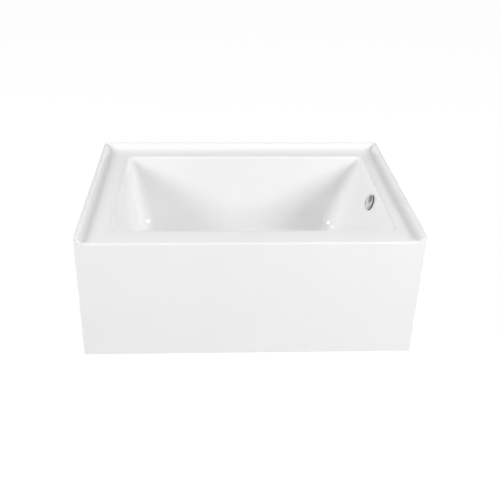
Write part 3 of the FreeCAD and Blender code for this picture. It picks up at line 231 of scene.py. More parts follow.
class StudioSettings(bpy.types.PropertyGroup):
    """Camera, lights and floor."""

    camera_place: FloatVectorProperty(
        name="Camera place", description="Where the camera stands",
        default=(-0.1481, -2.4087, 1.7221), size=3, subtype="TRANSLATION", unit="LENGTH")
    camera_yaw: FloatProperty(
        name="Yaw", description="Camera turned to the right of the back wall's square",
        default=0.0431, subtype="ANGLE")
    camera_pitch: FloatProperty(
        name="Pitch", description="Camera's tilt below the horizon", default=0.4473, subtype="ANGLE")
    camera_roll: FloatProperty(
        name="Roll", description="Camera's turn about its own axis", default=0.0174, subtype="ANGLE")
    sky: FloatProperty(
        name="Surrounding light", description="Strength of the even light from all round",
        default=0.34, min=0.0)
    walls: FloatProperty(
        name="Wall light", description="Light that the pale walls add at the horizon", default=0.15, min=0.0)
    left_light: FloatProperty(
        name="Left softbox", description="Power of the left softbox", default=156.0, min=0.0, unit="POWER")
    left_way: FloatVectorProperty(
        name="Way to the left softbox", description="From the basin to the left softbox",
        default=(-0.82, -0.30, 0.48), size=3, subtype="DIRECTION")
    right_light: FloatProperty(
        name="Right softbox", description="Power of the right softbox", default=173.0, min=0.0, unit="POWER")
    right_way: FloatVectorProperty(
        name="Way to the right softbox", description="From the basin to the right softbox",
        default=(0.75, -0.45, 0.46), size=3, subtype="DIRECTION")
    softbox_distance: FloatProperty(
        name="Softbox distance", description="From the basin to each softbox", default=5.0, unit="LENGTH")
    softbox: FloatProperty(
        name="Softbox side", description="Side of each square softbox", default=1.8, unit="LENGTH")
    bounce: FloatProperty(
        name="Floor reflectance", description="Share of the light that the floor throws back",
        default=0.35, min=0.0, max=1.0)
    floor_glow: FloatProperty(
        name="Floor glow", description="Light of the paper sweep's own lamps, which keep it white",
        default=0.39, min=0.0)
    backdrop: FloatProperty(
        name="Backdrop", description="Brightness of floor and surround as the camera sees them",
        default=1.12, min=0.0)
    floor_white: FloatProperty(
        name="Floor whiteness",
        description="Share of plain white in the floor as the camera sees it; the rest takes the shadows",
        default=0.75, min=0.0, max=1.0)
    floor_side: FloatProperty(
        name="Floor side", description="Side of the square floor", default=60.0, unit="LENGTH")


# ---------------------------------------------------------------- finishes


def shader_of(name):
    """A new material with one Principled shader, its node tree and that shader."""
    material = bpy.data.materials.new(name)
    material.use_nodes = True
    tree = material.node_tree
    return material, tree, tree.nodes["Principled BSDF"]


def add(tree, kind, **settings):
    """A new node whose properties and inputs are set by name."""
    node = tree.nodes.new(kind)
    for name, value in settings.items():
        label = name.replace("_", " ").title()
        if hasattr(node, name):
            setattr(node, name, value)
        else:
            node.inputs[label].default_value = value
    return node


def object_coordinates(tree, scale=(1.0, 1.0, 1.0), turn=(0.0, 0.0, 0.0)):
    """The piece's own coordinates in metres, stretched and turned for a pattern."""
    place = add(tree, "ShaderNodeTexCoord")
    mapping = add(tree, "ShaderNodeMapping")
    mapping.inputs["Scale"].default_value = scale
    mapping.inputs["Rotation"].default_value = turn
    tree.links.new(place.outputs["Object"], mapping.inputs["Vector"])
    return mapping.outputs["Vector"]


def noise(tree, vector, scale, detail=3.0, roughness=0.55, distortion=0.0):
    """A cloud pattern and its grey output."""
    node = add(
        tree, "ShaderNodeTexNoise", scale=scale, detail=detail, roughness=roughness, distortion=distortion)
    tree.links.new(vector, node.inputs["Vector"])
    return node.outputs["Fac"]


def ramp(tree, factor, stops):
    """A colour ramp through pairs of position and colour."""
    node = add(tree, "ShaderNodeValToRGB")
    elements = node.color_ramp.elements
    while len(elements) < len(stops):
        elements.new(1.0)
    for element, (position, colour) in zip(elements, stops):
        element.position = position
        element.color = (*colour, 1.0)
    tree.links.new(factor, node.inputs["Fac"])
    return node.outputs["Color"]


def spread(tree, factor, low, high, start=0.3, end=0.7):
    """Maps a pattern's grey onto a range."""
    node = add(tree, "ShaderNodeMapRange", from_min=start, from_max=end, to_min=low, to_max=high)
    tree.links.new(factor, node.inputs["Value"])
    return node.outputs["Result"]


def blend_colours(tree, factor, first, second):
    """Two colours or sockets mixed by a factor."""
    node = tree.nodes.new("ShaderNodeMix")
    node.data_type = "RGBA"
    tree.links.new(factor, node.inputs["Factor"])
    for name, colour in (("A", first), ("B", second)):
        socket = next(s for s in node.inputs if s.name == name and s.type == "RGBA")
        if isinstance(colour, bpy.types.NodeSocket):
            tree.links.new(colour, socket)
        else:
            socket.default_value = (*colour, 1.0)
    return next(s for s in node.outputs if s.type == "RGBA")


def bump(tree, shader, height, distance, strength, before=None):
    """Raises the surface by a pattern, on top of an earlier bump."""
    node = add(tree, "ShaderNodeBump", distance=distance, strength=strength)
    tree.links.new(height, node.inputs["Height"])
    if before is not None:
        tree.links.new(before, node.inputs["Normal"])
    tree.links.new(node.outputs["Normal"], shader.inputs["Normal"])
    return node.outputs["Normal"]


def shades(colour, low, high):
    """Two tones of one colour."""
    return tuple(c * low for c in colour), tuple(c * high for c in colour)


def acrylic_finish(colours):
    """Vacuum-formed acrylic: a deep gloss, faint wave of the forming and fine wiping marks."""
    material, tree, shader = shader_of("white_acrylic")
    place = object_coordinates(tree)
    wave = noise(tree, place, scale=5.0, detail=2.0)
    marks = noise(tree, place, scale=140.0, detail=4.0)
    dark, light = shades(colours.acrylic, low=0.985, high=1.0)
    tree.links.new(ramp(tree, wave, ((0.3, dark), (0.7, light))), shader.inputs["Base Color"])
    tree.links.new(spread(tree, marks, low=0.07, high=0.13), shader.inputs["Roughness"])
    shader.inputs["IOR"].default_value = 1.49
    shader.inputs["Coat Weight"].default_value = 0.25
    shader.inputs["Coat Roughness"].default_value = 0.04
    first = bump(tree, shader, wave, distance=0.0012, strength=0.5)
    bump(tree, shader, marks, distance=0.00002, strength=0.4, before=first)
    return material


def strand_layer(tree, turn):
    """Short strands, turned at random from one patch of the mat to the next."""
    place = object_coordinates(tree, turn=(turn, turn, turn))
    patches = add(tree, "ShaderNodeTexVoronoi", scale=26.0, randomness=1.0)
    tree.links.new(place, patches.inputs["Vector"])
    swing = add(tree, "ShaderNodeVectorMath", operation="SCALE")
    tree.links.new(patches.outputs["Color"], swing.inputs["Vector"])
    swing.inputs["Scale"].default_value = math.tau
    turned_place = add(tree, "ShaderNodeVectorRotate", rotation_type="EULER_XYZ")
    tree.links.new(place, turned_place.inputs["Vector"])
    tree.links.new(swing.outputs["Vector"], turned_place.inputs["Rotation"])
    drawn = add(tree, "ShaderNodeMapping")
    drawn.inputs["Scale"].default_value = (25.0, 420.0, 420.0)
    tree.links.new(turned_place.outputs["Vector"], drawn.inputs["Vector"])
    return noise(tree, drawn.outputs["Vector"], scale=1.0, detail=2.0)


def laminate_finish(colours):
    """Glass fibre sprayed with resin: short strands every way, resin runs and pin holes."""
    material, tree, shader = shader_of("fibreglass")
    strands = strand_layer(tree, 0.0)
    for turn in (0.8, 1.9):
        larger = add(tree, "ShaderNodeMath", operation="MAXIMUM")
        tree.links.new(strands, larger.inputs[0])
        tree.links.new(strand_layer(tree, turn), larger.inputs[1])
        strands = larger.outputs["Value"]
    runs = noise(tree, object_coordinates(tree, scale=(1.0, 1.0, 0.35)), scale=14.0, detail=4.0)
    pits = add(tree, "ShaderNodeTexVoronoi", scale=170.0)
    tree.links.new(object_coordinates(tree), pits.inputs["Vector"])
    dark, light = shades(colours.resin, low=0.75, high=1.1)
    resin = ramp(tree, runs, ((0.25, dark), (0.75, light)))
    shown = spread(tree, strands, low=0.0, high=0.7, start=0.55, end=0.78)
    tree.links.new(blend_colours(tree, shown, resin, colours.fibre), shader.inputs["Base Color"])
    tree.links.new(spread(tree, strands, low=0.28, high=0.6, start=0.5, end=0.75), shader.inputs["Roughness"])
    first = bump(tree, shader, strands, distance=0.0007, strength=0.6)
    second = bump(tree, shader, runs, distance=0.003, strength=0.5, before=first)
    bump(tree, shader, pits.outputs["Distance"], distance=0.0008, strength=0.4, before=second)
    return material


def timber_finish(name, colours, lengthwise):
    """Planed softwood: growth rings, pores along the grain and paler patches."""
    material, tree, shader = shader_of(name)
    stretch = {"X": (0.35, 9.0, 9.0), "Y": (9.0, 0.35, 9.0)}[lengthwise]
    fine = {"X": (10.0, 900.0, 900.0), "Y": (900.0, 10.0, 900.0)}[lengthwise]
    along = object_coordinates(tree, scale=stretch)
    rings = add(
        tree, "ShaderNodeTexWave", wave_type="RINGS", rings_direction=lengthwise, scale=7.0,
        distortion=5.0, detail=3.0, detail_scale=1.2)
    tree.links.new(along, rings.inputs["Vector"])
    pores = noise(tree, object_coordinates(tree, scale=fine), scale=1.0, detail=2.0)
    stain = noise(tree, along, scale=0.8, detail=3.0)
    banded = ramp(tree, rings.outputs["Fac"], ((0.1, colours.softwood), (0.85, colours.latewood)))
    pale = shades(colours.softwood, low=1.0, high=1.12)[1]
    colour = blend_colours(tree, spread(tree, stain, low=0.15, high=0.7), banded, pale)
    tree.links.new(colour, shader.inputs["Base Color"])
    tree.links.new(spread(tree, pores, low=0.5, high=0.75), shader.inputs["Roughness"])
    first = bump(tree, shader, rings.outputs["Fac"], distance=0.0003, strength=0.5)
    bump(tree, shader, pores, distance=0.00025, strength=0.6, before=first)
    return material


def chipboard_finish(colours):
    """Chipboard: flat chips of several tones pressed together, and a dusty, slightly rough face."""
    material, tree, shader = shader_of("chipboard")
    place = object_coordinates(tree, scale=(1.0, 1.0, 2.2))
    chips = add(tree, "ShaderNodeTexVoronoi", scale=260.0, randomness=1.0)
    tree.links.new(place, chips.inputs["Vector"])
    split = add(tree, "ShaderNodeSeparateColor")
    tree.links.new(chips.outputs["Color"], split.inputs["Color"])
    clouds = noise(tree, place, scale=30.0, detail=5.0)
    pale = shades(colours.chip, low=1.0, high=1.2)[1]
    tones = ramp(tree, split.outputs["Red"], ((0.0, colours.chip_dark), (0.25, colours.chip), (0.8, pale)))
    colour = blend_colours(tree, spread(tree, clouds, low=0.0, high=0.45), tones, colours.chip)
    tree.links.new(colour, shader.inputs["Base Color"])
    tree.links.new(spread(tree, clouds, low=0.7, high=0.9), shader.inputs["Roughness"])
    first = bump(tree, shader, chips.outputs["Distance"], distance=0.0003, strength=0.5)
    bump(tree, shader, clouds, distance=0.0004, strength=0.4, before=first)
    return material


def galvanised_finish(colours):
    """Hot-dip zinc: flat crystals of slightly different grey, and a dull bloom."""
    material, tree, shader = shader_of("galvanised_steel")
    place = object_coordinates(tree)
    crystals = add(tree, "ShaderNodeTexVoronoi", scale=95.0, randomness=1.0)
    tree.links.new(place, crystals.inputs["Vector"])
    split = add(tree, "ShaderNodeSeparateColor")
    tree.links.new(crystals.outputs["Color"], split.inputs["Color"])
    bloom = noise(tree, place, scale=24.0, detail=5.0)
    dark, light = shades(colours.zinc, low=0.78, high=1.12)
    grains = ramp(tree, split.outputs["Green"], ((0.0, dark), (1.0, light)))
    colour = blend_colours(tree, spread(tree, bloom, low=0.0, high=0.5), grains, colours.zinc)
    tree.links.new(colour, shader.inputs["Base Color"])
    shader.inputs["Metallic"].default_value = 1.0
    dull = spread(tree, split.outputs["Blue"], low=0.32, high=0.5, start=0.0, end=1.0)
    tree.links.new(dull, shader.inputs["Roughness"])
    bump(tree, shader, bloom, distance=0.0002, strength=0.4)
    return material


def plated_finish(name, colour, low, high, scratch=0.00006):
    """Plated or turned metal: fine tool marks round the piece, as deep as scratch, and a little tarnish."""
    material, tree, shader = shader_of(name)
    marks = noise(tree, object_coordinates(tree, scale=(60.0, 60.0, 2600.0)), scale=1.0, detail=3.0)
    tarnish = noise(tree, object_coordinates(tree), scale=70.0, detail=4.0)
    dark, light = shades(colour, low=0.8, high=1.06)
    tree.links.new(ramp(tree, tarnish, ((0.3, dark), (0.65, light))), shader.inputs["Base Color"])
    shader.inputs["Metallic"].default_value = 1.0
    tree.links.new(spread(tree, tarnish, low, high), shader.inputs["Roughness"])
    bump(tree, shader, marks, distance=scratch, strength=0.4)
    return material


def rubber_finish(colours):
    """Moulded rubber: dusty black with a fine tooth."""
    material, tree, shader = shader_of("black_rubber")
    tooth = noise(tree, object_coordinates(tree), scale=1400.0, detail=2.0)
    dust = noise(tree, object_coordinates(tree), scale=60.0, detail=5.0)
    dark, light = shades(colours.rubber, low=0.8, high=2.2)
    tree.links.new(ramp(tree, dust, ((0.35, dark), (0.75, light))), shader.inputs["Base Color"])
    tree.links.new(spread(tree, dust, low=0.6, high=0.82), shader.inputs["Roughness"])
    bump(tree, shader, tooth, distance=0.00008, strength=0.5)
    return material


def plastic_finish(name, colour, low, high, grain):
    """Moulded or extruded plastic: an even colour with flow marks and a fine grain."""
    material, tree, shader = shader_of(name)
    flow = noise(tree, object_coordinates(tree), scale=18.0, detail=4.0, distortion=0.6)
    texture = noise(tree, object_coordinates(tree), scale=grain, detail=2.0)
    dark, light = shades(colour, low=0.93, high=1.04)
    tree.links.new(ramp(tree, flow, ((0.3, dark), (0.7, light))), shader.inputs["Base Color"])
    tree.links.new(spread(tree, texture, low, high), shader.inputs["Roughness"])
    shader.inputs["IOR"].default_value = 1.5
    first = bump(tree, shader, texture, distance=0.00003, strength=0.35)
    bump(tree, shader, flow, distance=0.0004, strength=0.2, before=first)
    return material


def make_finishes(colours):
    """Every finish of the tub, by the record's slot; timber has one for each way it runs."""
    return {
        "white_acrylic": acrylic_finish(colours),
        "fibreglass": laminate_finish(colours),
        "timber": timber_finish("softwood_along_x", colours, "X"),
        "timber_across": timber_finish("softwood_along_y", colours, "Y"),
        "board": chipboard_finish(colours),
        "galvanised_steel": galvanised_finish(colours),
        "zinc_plate": plated_finish("zinc_plate", colours.plating, low=0.28, high=0.45),
        "chrome": plated_finish("polished_chrome", colours.chrome, low=0.05, high=0.1, scratch=0.000004),
        "brass": plated_finish("turned_brass", colours.brass, low=0.22, high=0.36),
        "rubber": rubber_finish(colours),
        "waste_plastic": plastic_finish("pipe_plastic", colours.pipe, low=0.2, high=0.32, grain=500.0),
        "nut_plastic": plastic_finish("nut_plastic", colours.nut, low=0.35, high=0.5, grain=900.0),
        "foot_plastic": plastic_finish("foot_plastic", colours.pad, low=0.42, high=0.6, grain=1100.0),
    }


FINISHES = {}            # filled by the first operator, for all the others


def finish_node(name, finish):
    """Gives a carried-over piece its finish."""
    node = NODES[name]
    node.data.materials.clear()
    node.data.materials.append(FINISHES[finish])


# ---------------------------------------------------------------- shaping


def soften(form, geom, width, segments=2, affect="EDGES"):
    """Rounds edges or corners of a form."""
    bmesh.ops.bevel(
        form, geom=list(geom), offset=width, offset_type="OFFSET", segments=segments, profile=0.5,
        affect=affect, material=-1, clamp_overlap=False)


def everything(form):
    """All that a form is made of."""
    return form.verts[:] + form.edges[:] + form.faces[:]


def spun(form, geom, steps, angle=math.tau, rise=0.0, **settings):
    """Carries a part of a form round the upright axis."""
    bmesh.ops.spin(
        form, geom=geom, cent=(0.0, 0.0, 0.0), axis=(0.0, 0.0, 1.0), dvec=(0.0, 0.0, rise),
        angle=angle, steps=steps, **settings)


def sharp_edges(form, least=SHARP_ANGLE):
    """Edges where two faces meet at more than an angle in degrees."""
    limit = math.radians(least)
    return [e for e in form.edges if len(e.link_faces) == 2 and e.calc_face_angle(0.0) > limit]


def taken_from(name):
    """A form with the shape of a carried-over piece and its corners merged."""
    form = bmesh.new()
    form.from_mesh(NODES[name].data)
    bmesh.ops.remove_doubles(form, verts=form.verts, dist=CORNER_MERGE)
    return form


def flatten_areas(form):
    """Joins the level triangles of a form into whole faces."""
    bmesh.ops.dissolve_limit(
        form, angle_limit=math.radians(FLAT_WITHIN), verts=form.verts, edges=form.edges,
        use_dissolve_boundaries=False)


def outline_of(corners):
    """A flat outline from pairs of radius and height; a third number rounds that corner."""
    form = bmesh.new()
    points = [form.verts.new((radius, 0.0, height)) for radius, height, *_ in corners]
    form.faces.new(points)
    for point, (_, _, *rounding) in zip(points, corners):
        if rounding:
            soften(form, [point], rounding[0], CORNER_STEPS, "VERTICES")
    return form


def turned(corners, steps, base=(0.0, 0.0, 0.0), lean=0.0):
    """A form turned about its upright axis, then stood on a base and leant about Y."""
    form = outline_of(corners)
    bmesh.ops.delete(form, geom=form.faces[:], context="FACES_ONLY")
    on_axis = [e for e in form.edges if all(v.co.x < TURNED_MERGE for v in e.verts)]
    bmesh.ops.delete(form, geom=on_axis, context="EDGES")
    spun(form, everything(form), steps, use_merge=True)
    bmesh.ops.remove_doubles(form, verts=form.verts, dist=TURNED_MERGE)
    stand(form, base, lean)
    return form


def stand(form, base, lean=0.0):
    """Leans a form about Y and moves it to its base."""
    form.transform(Matrix.Translation(base) @ Matrix.Rotation(lean, 4, "Y"))


def threaded_rod(radius, depth, pitch, low, high):
    """A screw thread: one notch of it makes a turn, the turns are stacked, and the ends are cut level."""
    form = bmesh.new()
    notch = [
        form.verts.new((radius - down * depth, 0.0, low + (up - THREAD_SPARE) * pitch))
        for up, down in THREAD_NOTCH]
    for first, second in zip(notch, notch[1:]):
        form.edges.new((first, second))
    spun(form, everything(form), THREAD_STEPS, rise=pitch / THREAD_STEPS, use_merge=False)
    turns = 1
    while (turns - THREAD_SPARE - 1) * pitch < high - low:
        above = bmesh.ops.duplicate(form, geom=everything(form))["geom"]
        corners = [g for g in above if isinstance(g, bmesh.types.BMVert)]
        bmesh.ops.translate(form, verts=corners, vec=(0.0, 0.0, pitch * turns))
        turns *= 2
    bmesh.ops.remove_doubles(form, verts=form.verts, dist=TURNED_MERGE)
    for height, way in ((low, -1.0), (high, 1.0)):
        bmesh.ops.bisect_plane(
            form, geom=everything(form), dist=1e-7,
            plane_co=(0.0, 0.0, height), plane_no=(0.0, 0.0, way), clear_outer=True)
    bmesh.ops.holes_fill(form, edges=[e for e in form.edges if e.is_boundary], sides=0)
    return form


def joined(first, *others):
    """One form made of several; the others are freed."""
    for other in others:
        spare = bpy.data.meshes.new("spare")
        other.to_mesh(spare)
        other.free()
        first.from_mesh(spare)
        bpy.data.meshes.remove(spare)
    return first


def make_piece(name, form, finish, *nodes, beside=None):
    """An object of a form, with a finish, on the body of the nodes that it stands for or lies beside."""
    bmesh.ops.recalc_face_normals(form, faces=form.faces)
    limit = math.radians(CRISP_ANGLE)
    for face in form.faces:
        face.smooth = True
    for edge in form.edges:
        edge.smooth = edge.is_manifold and edge.calc_face_angle(0.0) < limit
    mesh = bpy.data.meshes.new(name)
    form.to_mesh(mesh)
    form.free()
    piece = bpy.data.objects.new(name, mesh)
    bpy.context.scene.collection.objects.link(piece)
    mesh.materials.append(FINISHES[finish])
    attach(piece, BODY_OF[beside or nodes[0]])
    if nodes:
        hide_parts(*nodes)


def middle(name):
    """The middle of a carried-over piece's box."""
    low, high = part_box(name)
    return (Vector(low) + Vector(high)) / 2


def softened_copy(name, width, finish=None, segments=2):
    """A piece like a carried-over one, with its sharp edges rounded."""
    form = taken_from(name)
    flatten_areas(form)
    soften(form, sharp_edges(form), width, segments)
    make_piece(f"{name}_finished", form, finish or SLOT_OF[name], name)


class BATHTUB_OT_finishes(bpy.types.Operator):
    """Make every finish and give the carried-over pieces theirs"""

    bl_idname = "bathtub.finishes"
    bl_label = "Finishes"

    def execute(self, context):
        FINISHES.update(make_finishes(context.scene.bathtub_colours))
        across = ("deck_batten_left", "deck_batten_right")
        for name in NODES:
            finish_node(name, "timber_across" if name in across else SLOT_OF[name])
        return {"FINISHED"}


# ---------------------------------------------------------------- pieces


class BATHTUB_OT_shell(bpy.types.Operator):
    """Round the top edges of the acrylic shell's tile flange"""

    bl_idname = "bathtub.shell"
    bl_label = "Acrylic shell"

    def execute(self, context):
        sizes = context.scene.bathtub_sizes
        form = taken_from("tub_shell")
        least = CAD_BOX[1][2] - FLANGE_WITHIN
        flange = [e for e in sharp_edges(form, FLANGE_ANGLE) if all(v.co.z > least for v in e.verts)]
        soften(form, flange, sizes.flange_round, segments=4)
        make_piece("acrylic_shell", form, "white_acrylic", "tub_shell")
        return {"FINISHED"}


class BATHTUB_OT_woodwork(bpy.types.Operator):
    """Wear the edges of boards, battens and the timber rail"""

    bl_idname = "bathtub.woodwork"
    bl_label = "Boards and timber"

    def execute(self, context):
        width = context.scene.bathtub_sizes.board_round
        for name in ("base_board", "apron_board", "apron_rail", "deck_batten_front", "deck_batten_back"):
            softened_copy(name, width)
        for name in ("deck_batten_left", "deck_batten_right"):
            softened_copy(name, width, "timber_across")
        return {"FINISHED"}


class BATHTUB_OT_steelwork(bpy.types.Operator):
    """Round the bends and edges of the cross rails, brackets, nuts and screws"""

    bl_idname = "bathtub.steelwork"
    bl_label = "Steelwork"

    def execute(self, context):
        width = context.scene.bathtub_sizes.steel_round
        for name in (
            "cross_rail_left", "cross_rail_right", "apron_bracket_left", "apron_bracket_right",
            "weld_nuts", "lock_nuts", "rail_screws", "bracket_screws",
        ):
            softened_copy(name, width)
        return {"FINISHED"}


class BATHTUB_OT_feet(bpy.types.Operator):
    """Turn the ribbed foot pads and cut the levelling studs' threads"""

    bl_idname = "bathtub.feet"
    bl_label = "Levelling feet"

    def execute(self, context):
        sizes = context.scene.bathtub_sizes
        low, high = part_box("foot_front_left_stud")
        rod = threaded_rod(STUD_RADIUS, sizes.thread_depth, sizes.thread_pitch, low[2], high[2])
        for end in ("front", "back"):
            for side in ("left", "right"):
                self.pad(f"foot_{end}_{side}_pad", sizes)
                self.stud(f"foot_{end}_{side}_stud", rod)
        rod.free()
        return {"FINISHED"}

    def pad(self, name, sizes):
        """A round pad with a socket for the stud and ribs round its hub."""
        low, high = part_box(name)
        radius, top = (high[0] - low[0]) / 2, high[2]
        outline = [(radius * out, top * up, *rounding) for out, up, *rounding in PAD_OUTLINE]
        form = turned(outline, sizes.round_steps)
        rib = bmesh.new()
        bmesh.ops.create_cube(rib, size=1.0)
        bmesh.ops.scale(rib, verts=rib.verts, vec=(radius * RIB_LENGTH, RIB_THICK, top * RIB_HEIGHT))
        outer = [v for v in rib.verts if v.co.x > 0.0 and v.co.z > 0.0]
        bmesh.ops.translate(rib, verts=outer, vec=(0.0, 0.0, -top * RIB_FALL))
        bmesh.ops.translate(rib, verts=rib.verts, vec=(radius * RIB_OUT, 0.0, top * RIB_UP))
        soften(rib, rib.edges, RIB_ROUND)
        copies = sizes.pad_ribs - 1
        spun(rib, everything(rib), copies, math.tau * copies / sizes.pad_ribs, use_duplicate=True)
        joined(form, rib)
        place = middle(name)
        stand(form, (place.x, place.y, 0.0))
        make_piece(f"{name}_ribbed", form, "foot_plastic", name)

    def stud(self, name, rod):
        """A copy of the threaded rod with a collar for the spanner."""
        low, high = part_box(name)
        place = middle(name)
        corner = (high[0] - low[0]) / 2
        form = rod.copy()
        collar = bmesh.new()
        bmesh.ops.create_cone(
            collar, cap_ends=True, segments=COLLAR_SIDES, radius1=corner, radius2=corner,
            depth=COLLAR_DEPTH)
        soften(collar, collar.edges, COLLAR_ROUND)
        stand(collar, (0.0, 0.0, COLLAR_HEIGHT))
        joined(form, collar)
        stand(form, (place.x, place.y, 0.0))
        make_piece(f"{name}_threaded", form, "zinc_plate", name)


class BATHTUB_OT_drain(bpy.types.Operator):
    """Round the drain's flange, its shoe and the rubber rings"""

    bl_idname = "bathtub.drain"
    bl_label = "Drain"

    def execute(self, context):
        sizes = context.scene.bathtub_sizes
        softened_copy("drain_flange", sizes.fine_round, segments=3)
        softened_copy("drain_shoe", sizes.fitting_round)
        for name in ("drain_gasket", "overflow_gasket"):
            softened_copy(name, sizes.fine_round)
        return {"FINISHED"}


class BATHTUB_OT_stopper(bpy.types.Operator):
    """Turn the stopper's cap with its knob, and round its seal"""

    bl_idname = "bathtub.stopper"
    bl_label = "Stopper"

    def execute(self, context):
        sizes = context.scene.bathtub_sizes
        low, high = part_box("stopper_cap")
        place = middle("stopper_cap")
        foot, top, rim = low[2], high[2], (high[0] - low[0]) / 2
        sleeve, bore, sleeve_depth = 0.010, 0.00755, 0.014
        rim_depth = 0.003
        dome, dome_rise = 0.0085, 0.0058
        neck, neck_drop = 0.0055, 0.0085
        knob, knob_depth = 0.008, 0.0062
        under = foot + sleeve_depth
        cap = turned((
            (0.0, under), (bore, under), (bore, foot), (sleeve, foot, 0.0005), (sleeve, under),
            (rim, under, 0.0008), (rim, under + rim_depth, 0.0018), (dome, under + dome_rise, 0.004),
            (neck, top - neck_drop, 0.0012), (knob, top - knob_depth, 0.0009), (knob, top, 0.0018),
            (0.0, top),
        ), sizes.round_steps, (place.x, place.y, 0.0))
        make_piece("stopper_cap_turned", cap, "chrome", "stopper_cap")
        softened_copy("stopper_seal", sizes.fine_round)
        return {"FINISHED"}


class BATHTUB_OT_overflow(bpy.types.Operator):
    """Finish the overflow's cover with its screw, set a black rubber ring at its foot as painted shade of the
    gap behind the cover, and round the elbow behind it
    """

    bl_idname = "bathtub.overflow"
    bl_label = "Overflow"

    def execute(self, context):
        sizes = context.scene.bathtub_sizes
        lean = sizes.overflow_slope - math.pi / 2
        cover = taken_from("overflow_cover")
        soften(cover, sharp_edges(cover), sizes.fine_round, segments=3)
        screw = turned(COVER_SCREW, SCREW_STEPS, sizes.overflow_foot, lean)
        make_piece("overflow_cover_turned", joined(cover, screw), "chrome", "overflow_cover")
        # A black rubber ring at the cover's foot: painted shade of the shadow gap between the cover and the
        # wall.
        shadow_ring = turned(COVER_SHADOW_RING, sizes.round_steps, sizes.overflow_foot, lean)
        make_piece("overflow_shadow_ring", shadow_ring, "rubber", beside="overflow_cover")
        softened_copy("overflow_elbow", sizes.fitting_round)
        return {"FINISHED"}


class BATHTUB_OT_waste(bpy.types.Operator):
    """Round the moulded edges of the waste tee, the tailpiece and the slip nuts"""

    bl_idname = "bathtub.waste"
    bl_label = "Waste pipe"

    def execute(self, context):
        width = context.scene.bathtub_sizes.fitting_round
        for name in ("waste_tee", "tee_nut_low", "tee_nut_high", "tee_nut_side", "elbow_nut", "shoe_nut"):
            softened_copy(name, width)
        softened_copy("tailpiece", width / THIN_WALL)
        return {"FINISHED"}


# ---------------------------------------------------------------- studio


def softbox(name, place, target, side, power):
    """A square area light that points at a target."""
    light = bpy.data.lights.new(name, "AREA")
    light.shape = "SQUARE"
    light.size = side
    light.energy = power
    lamp = bpy.data.objects.new(name, light)
    bpy.context.scene.collection.objects.link(lamp)
    lamp.location = place
    lamp.rotation_euler = (Vector(target) - Vector(place)).to_track_quat("-Z", "Y").to_euler()


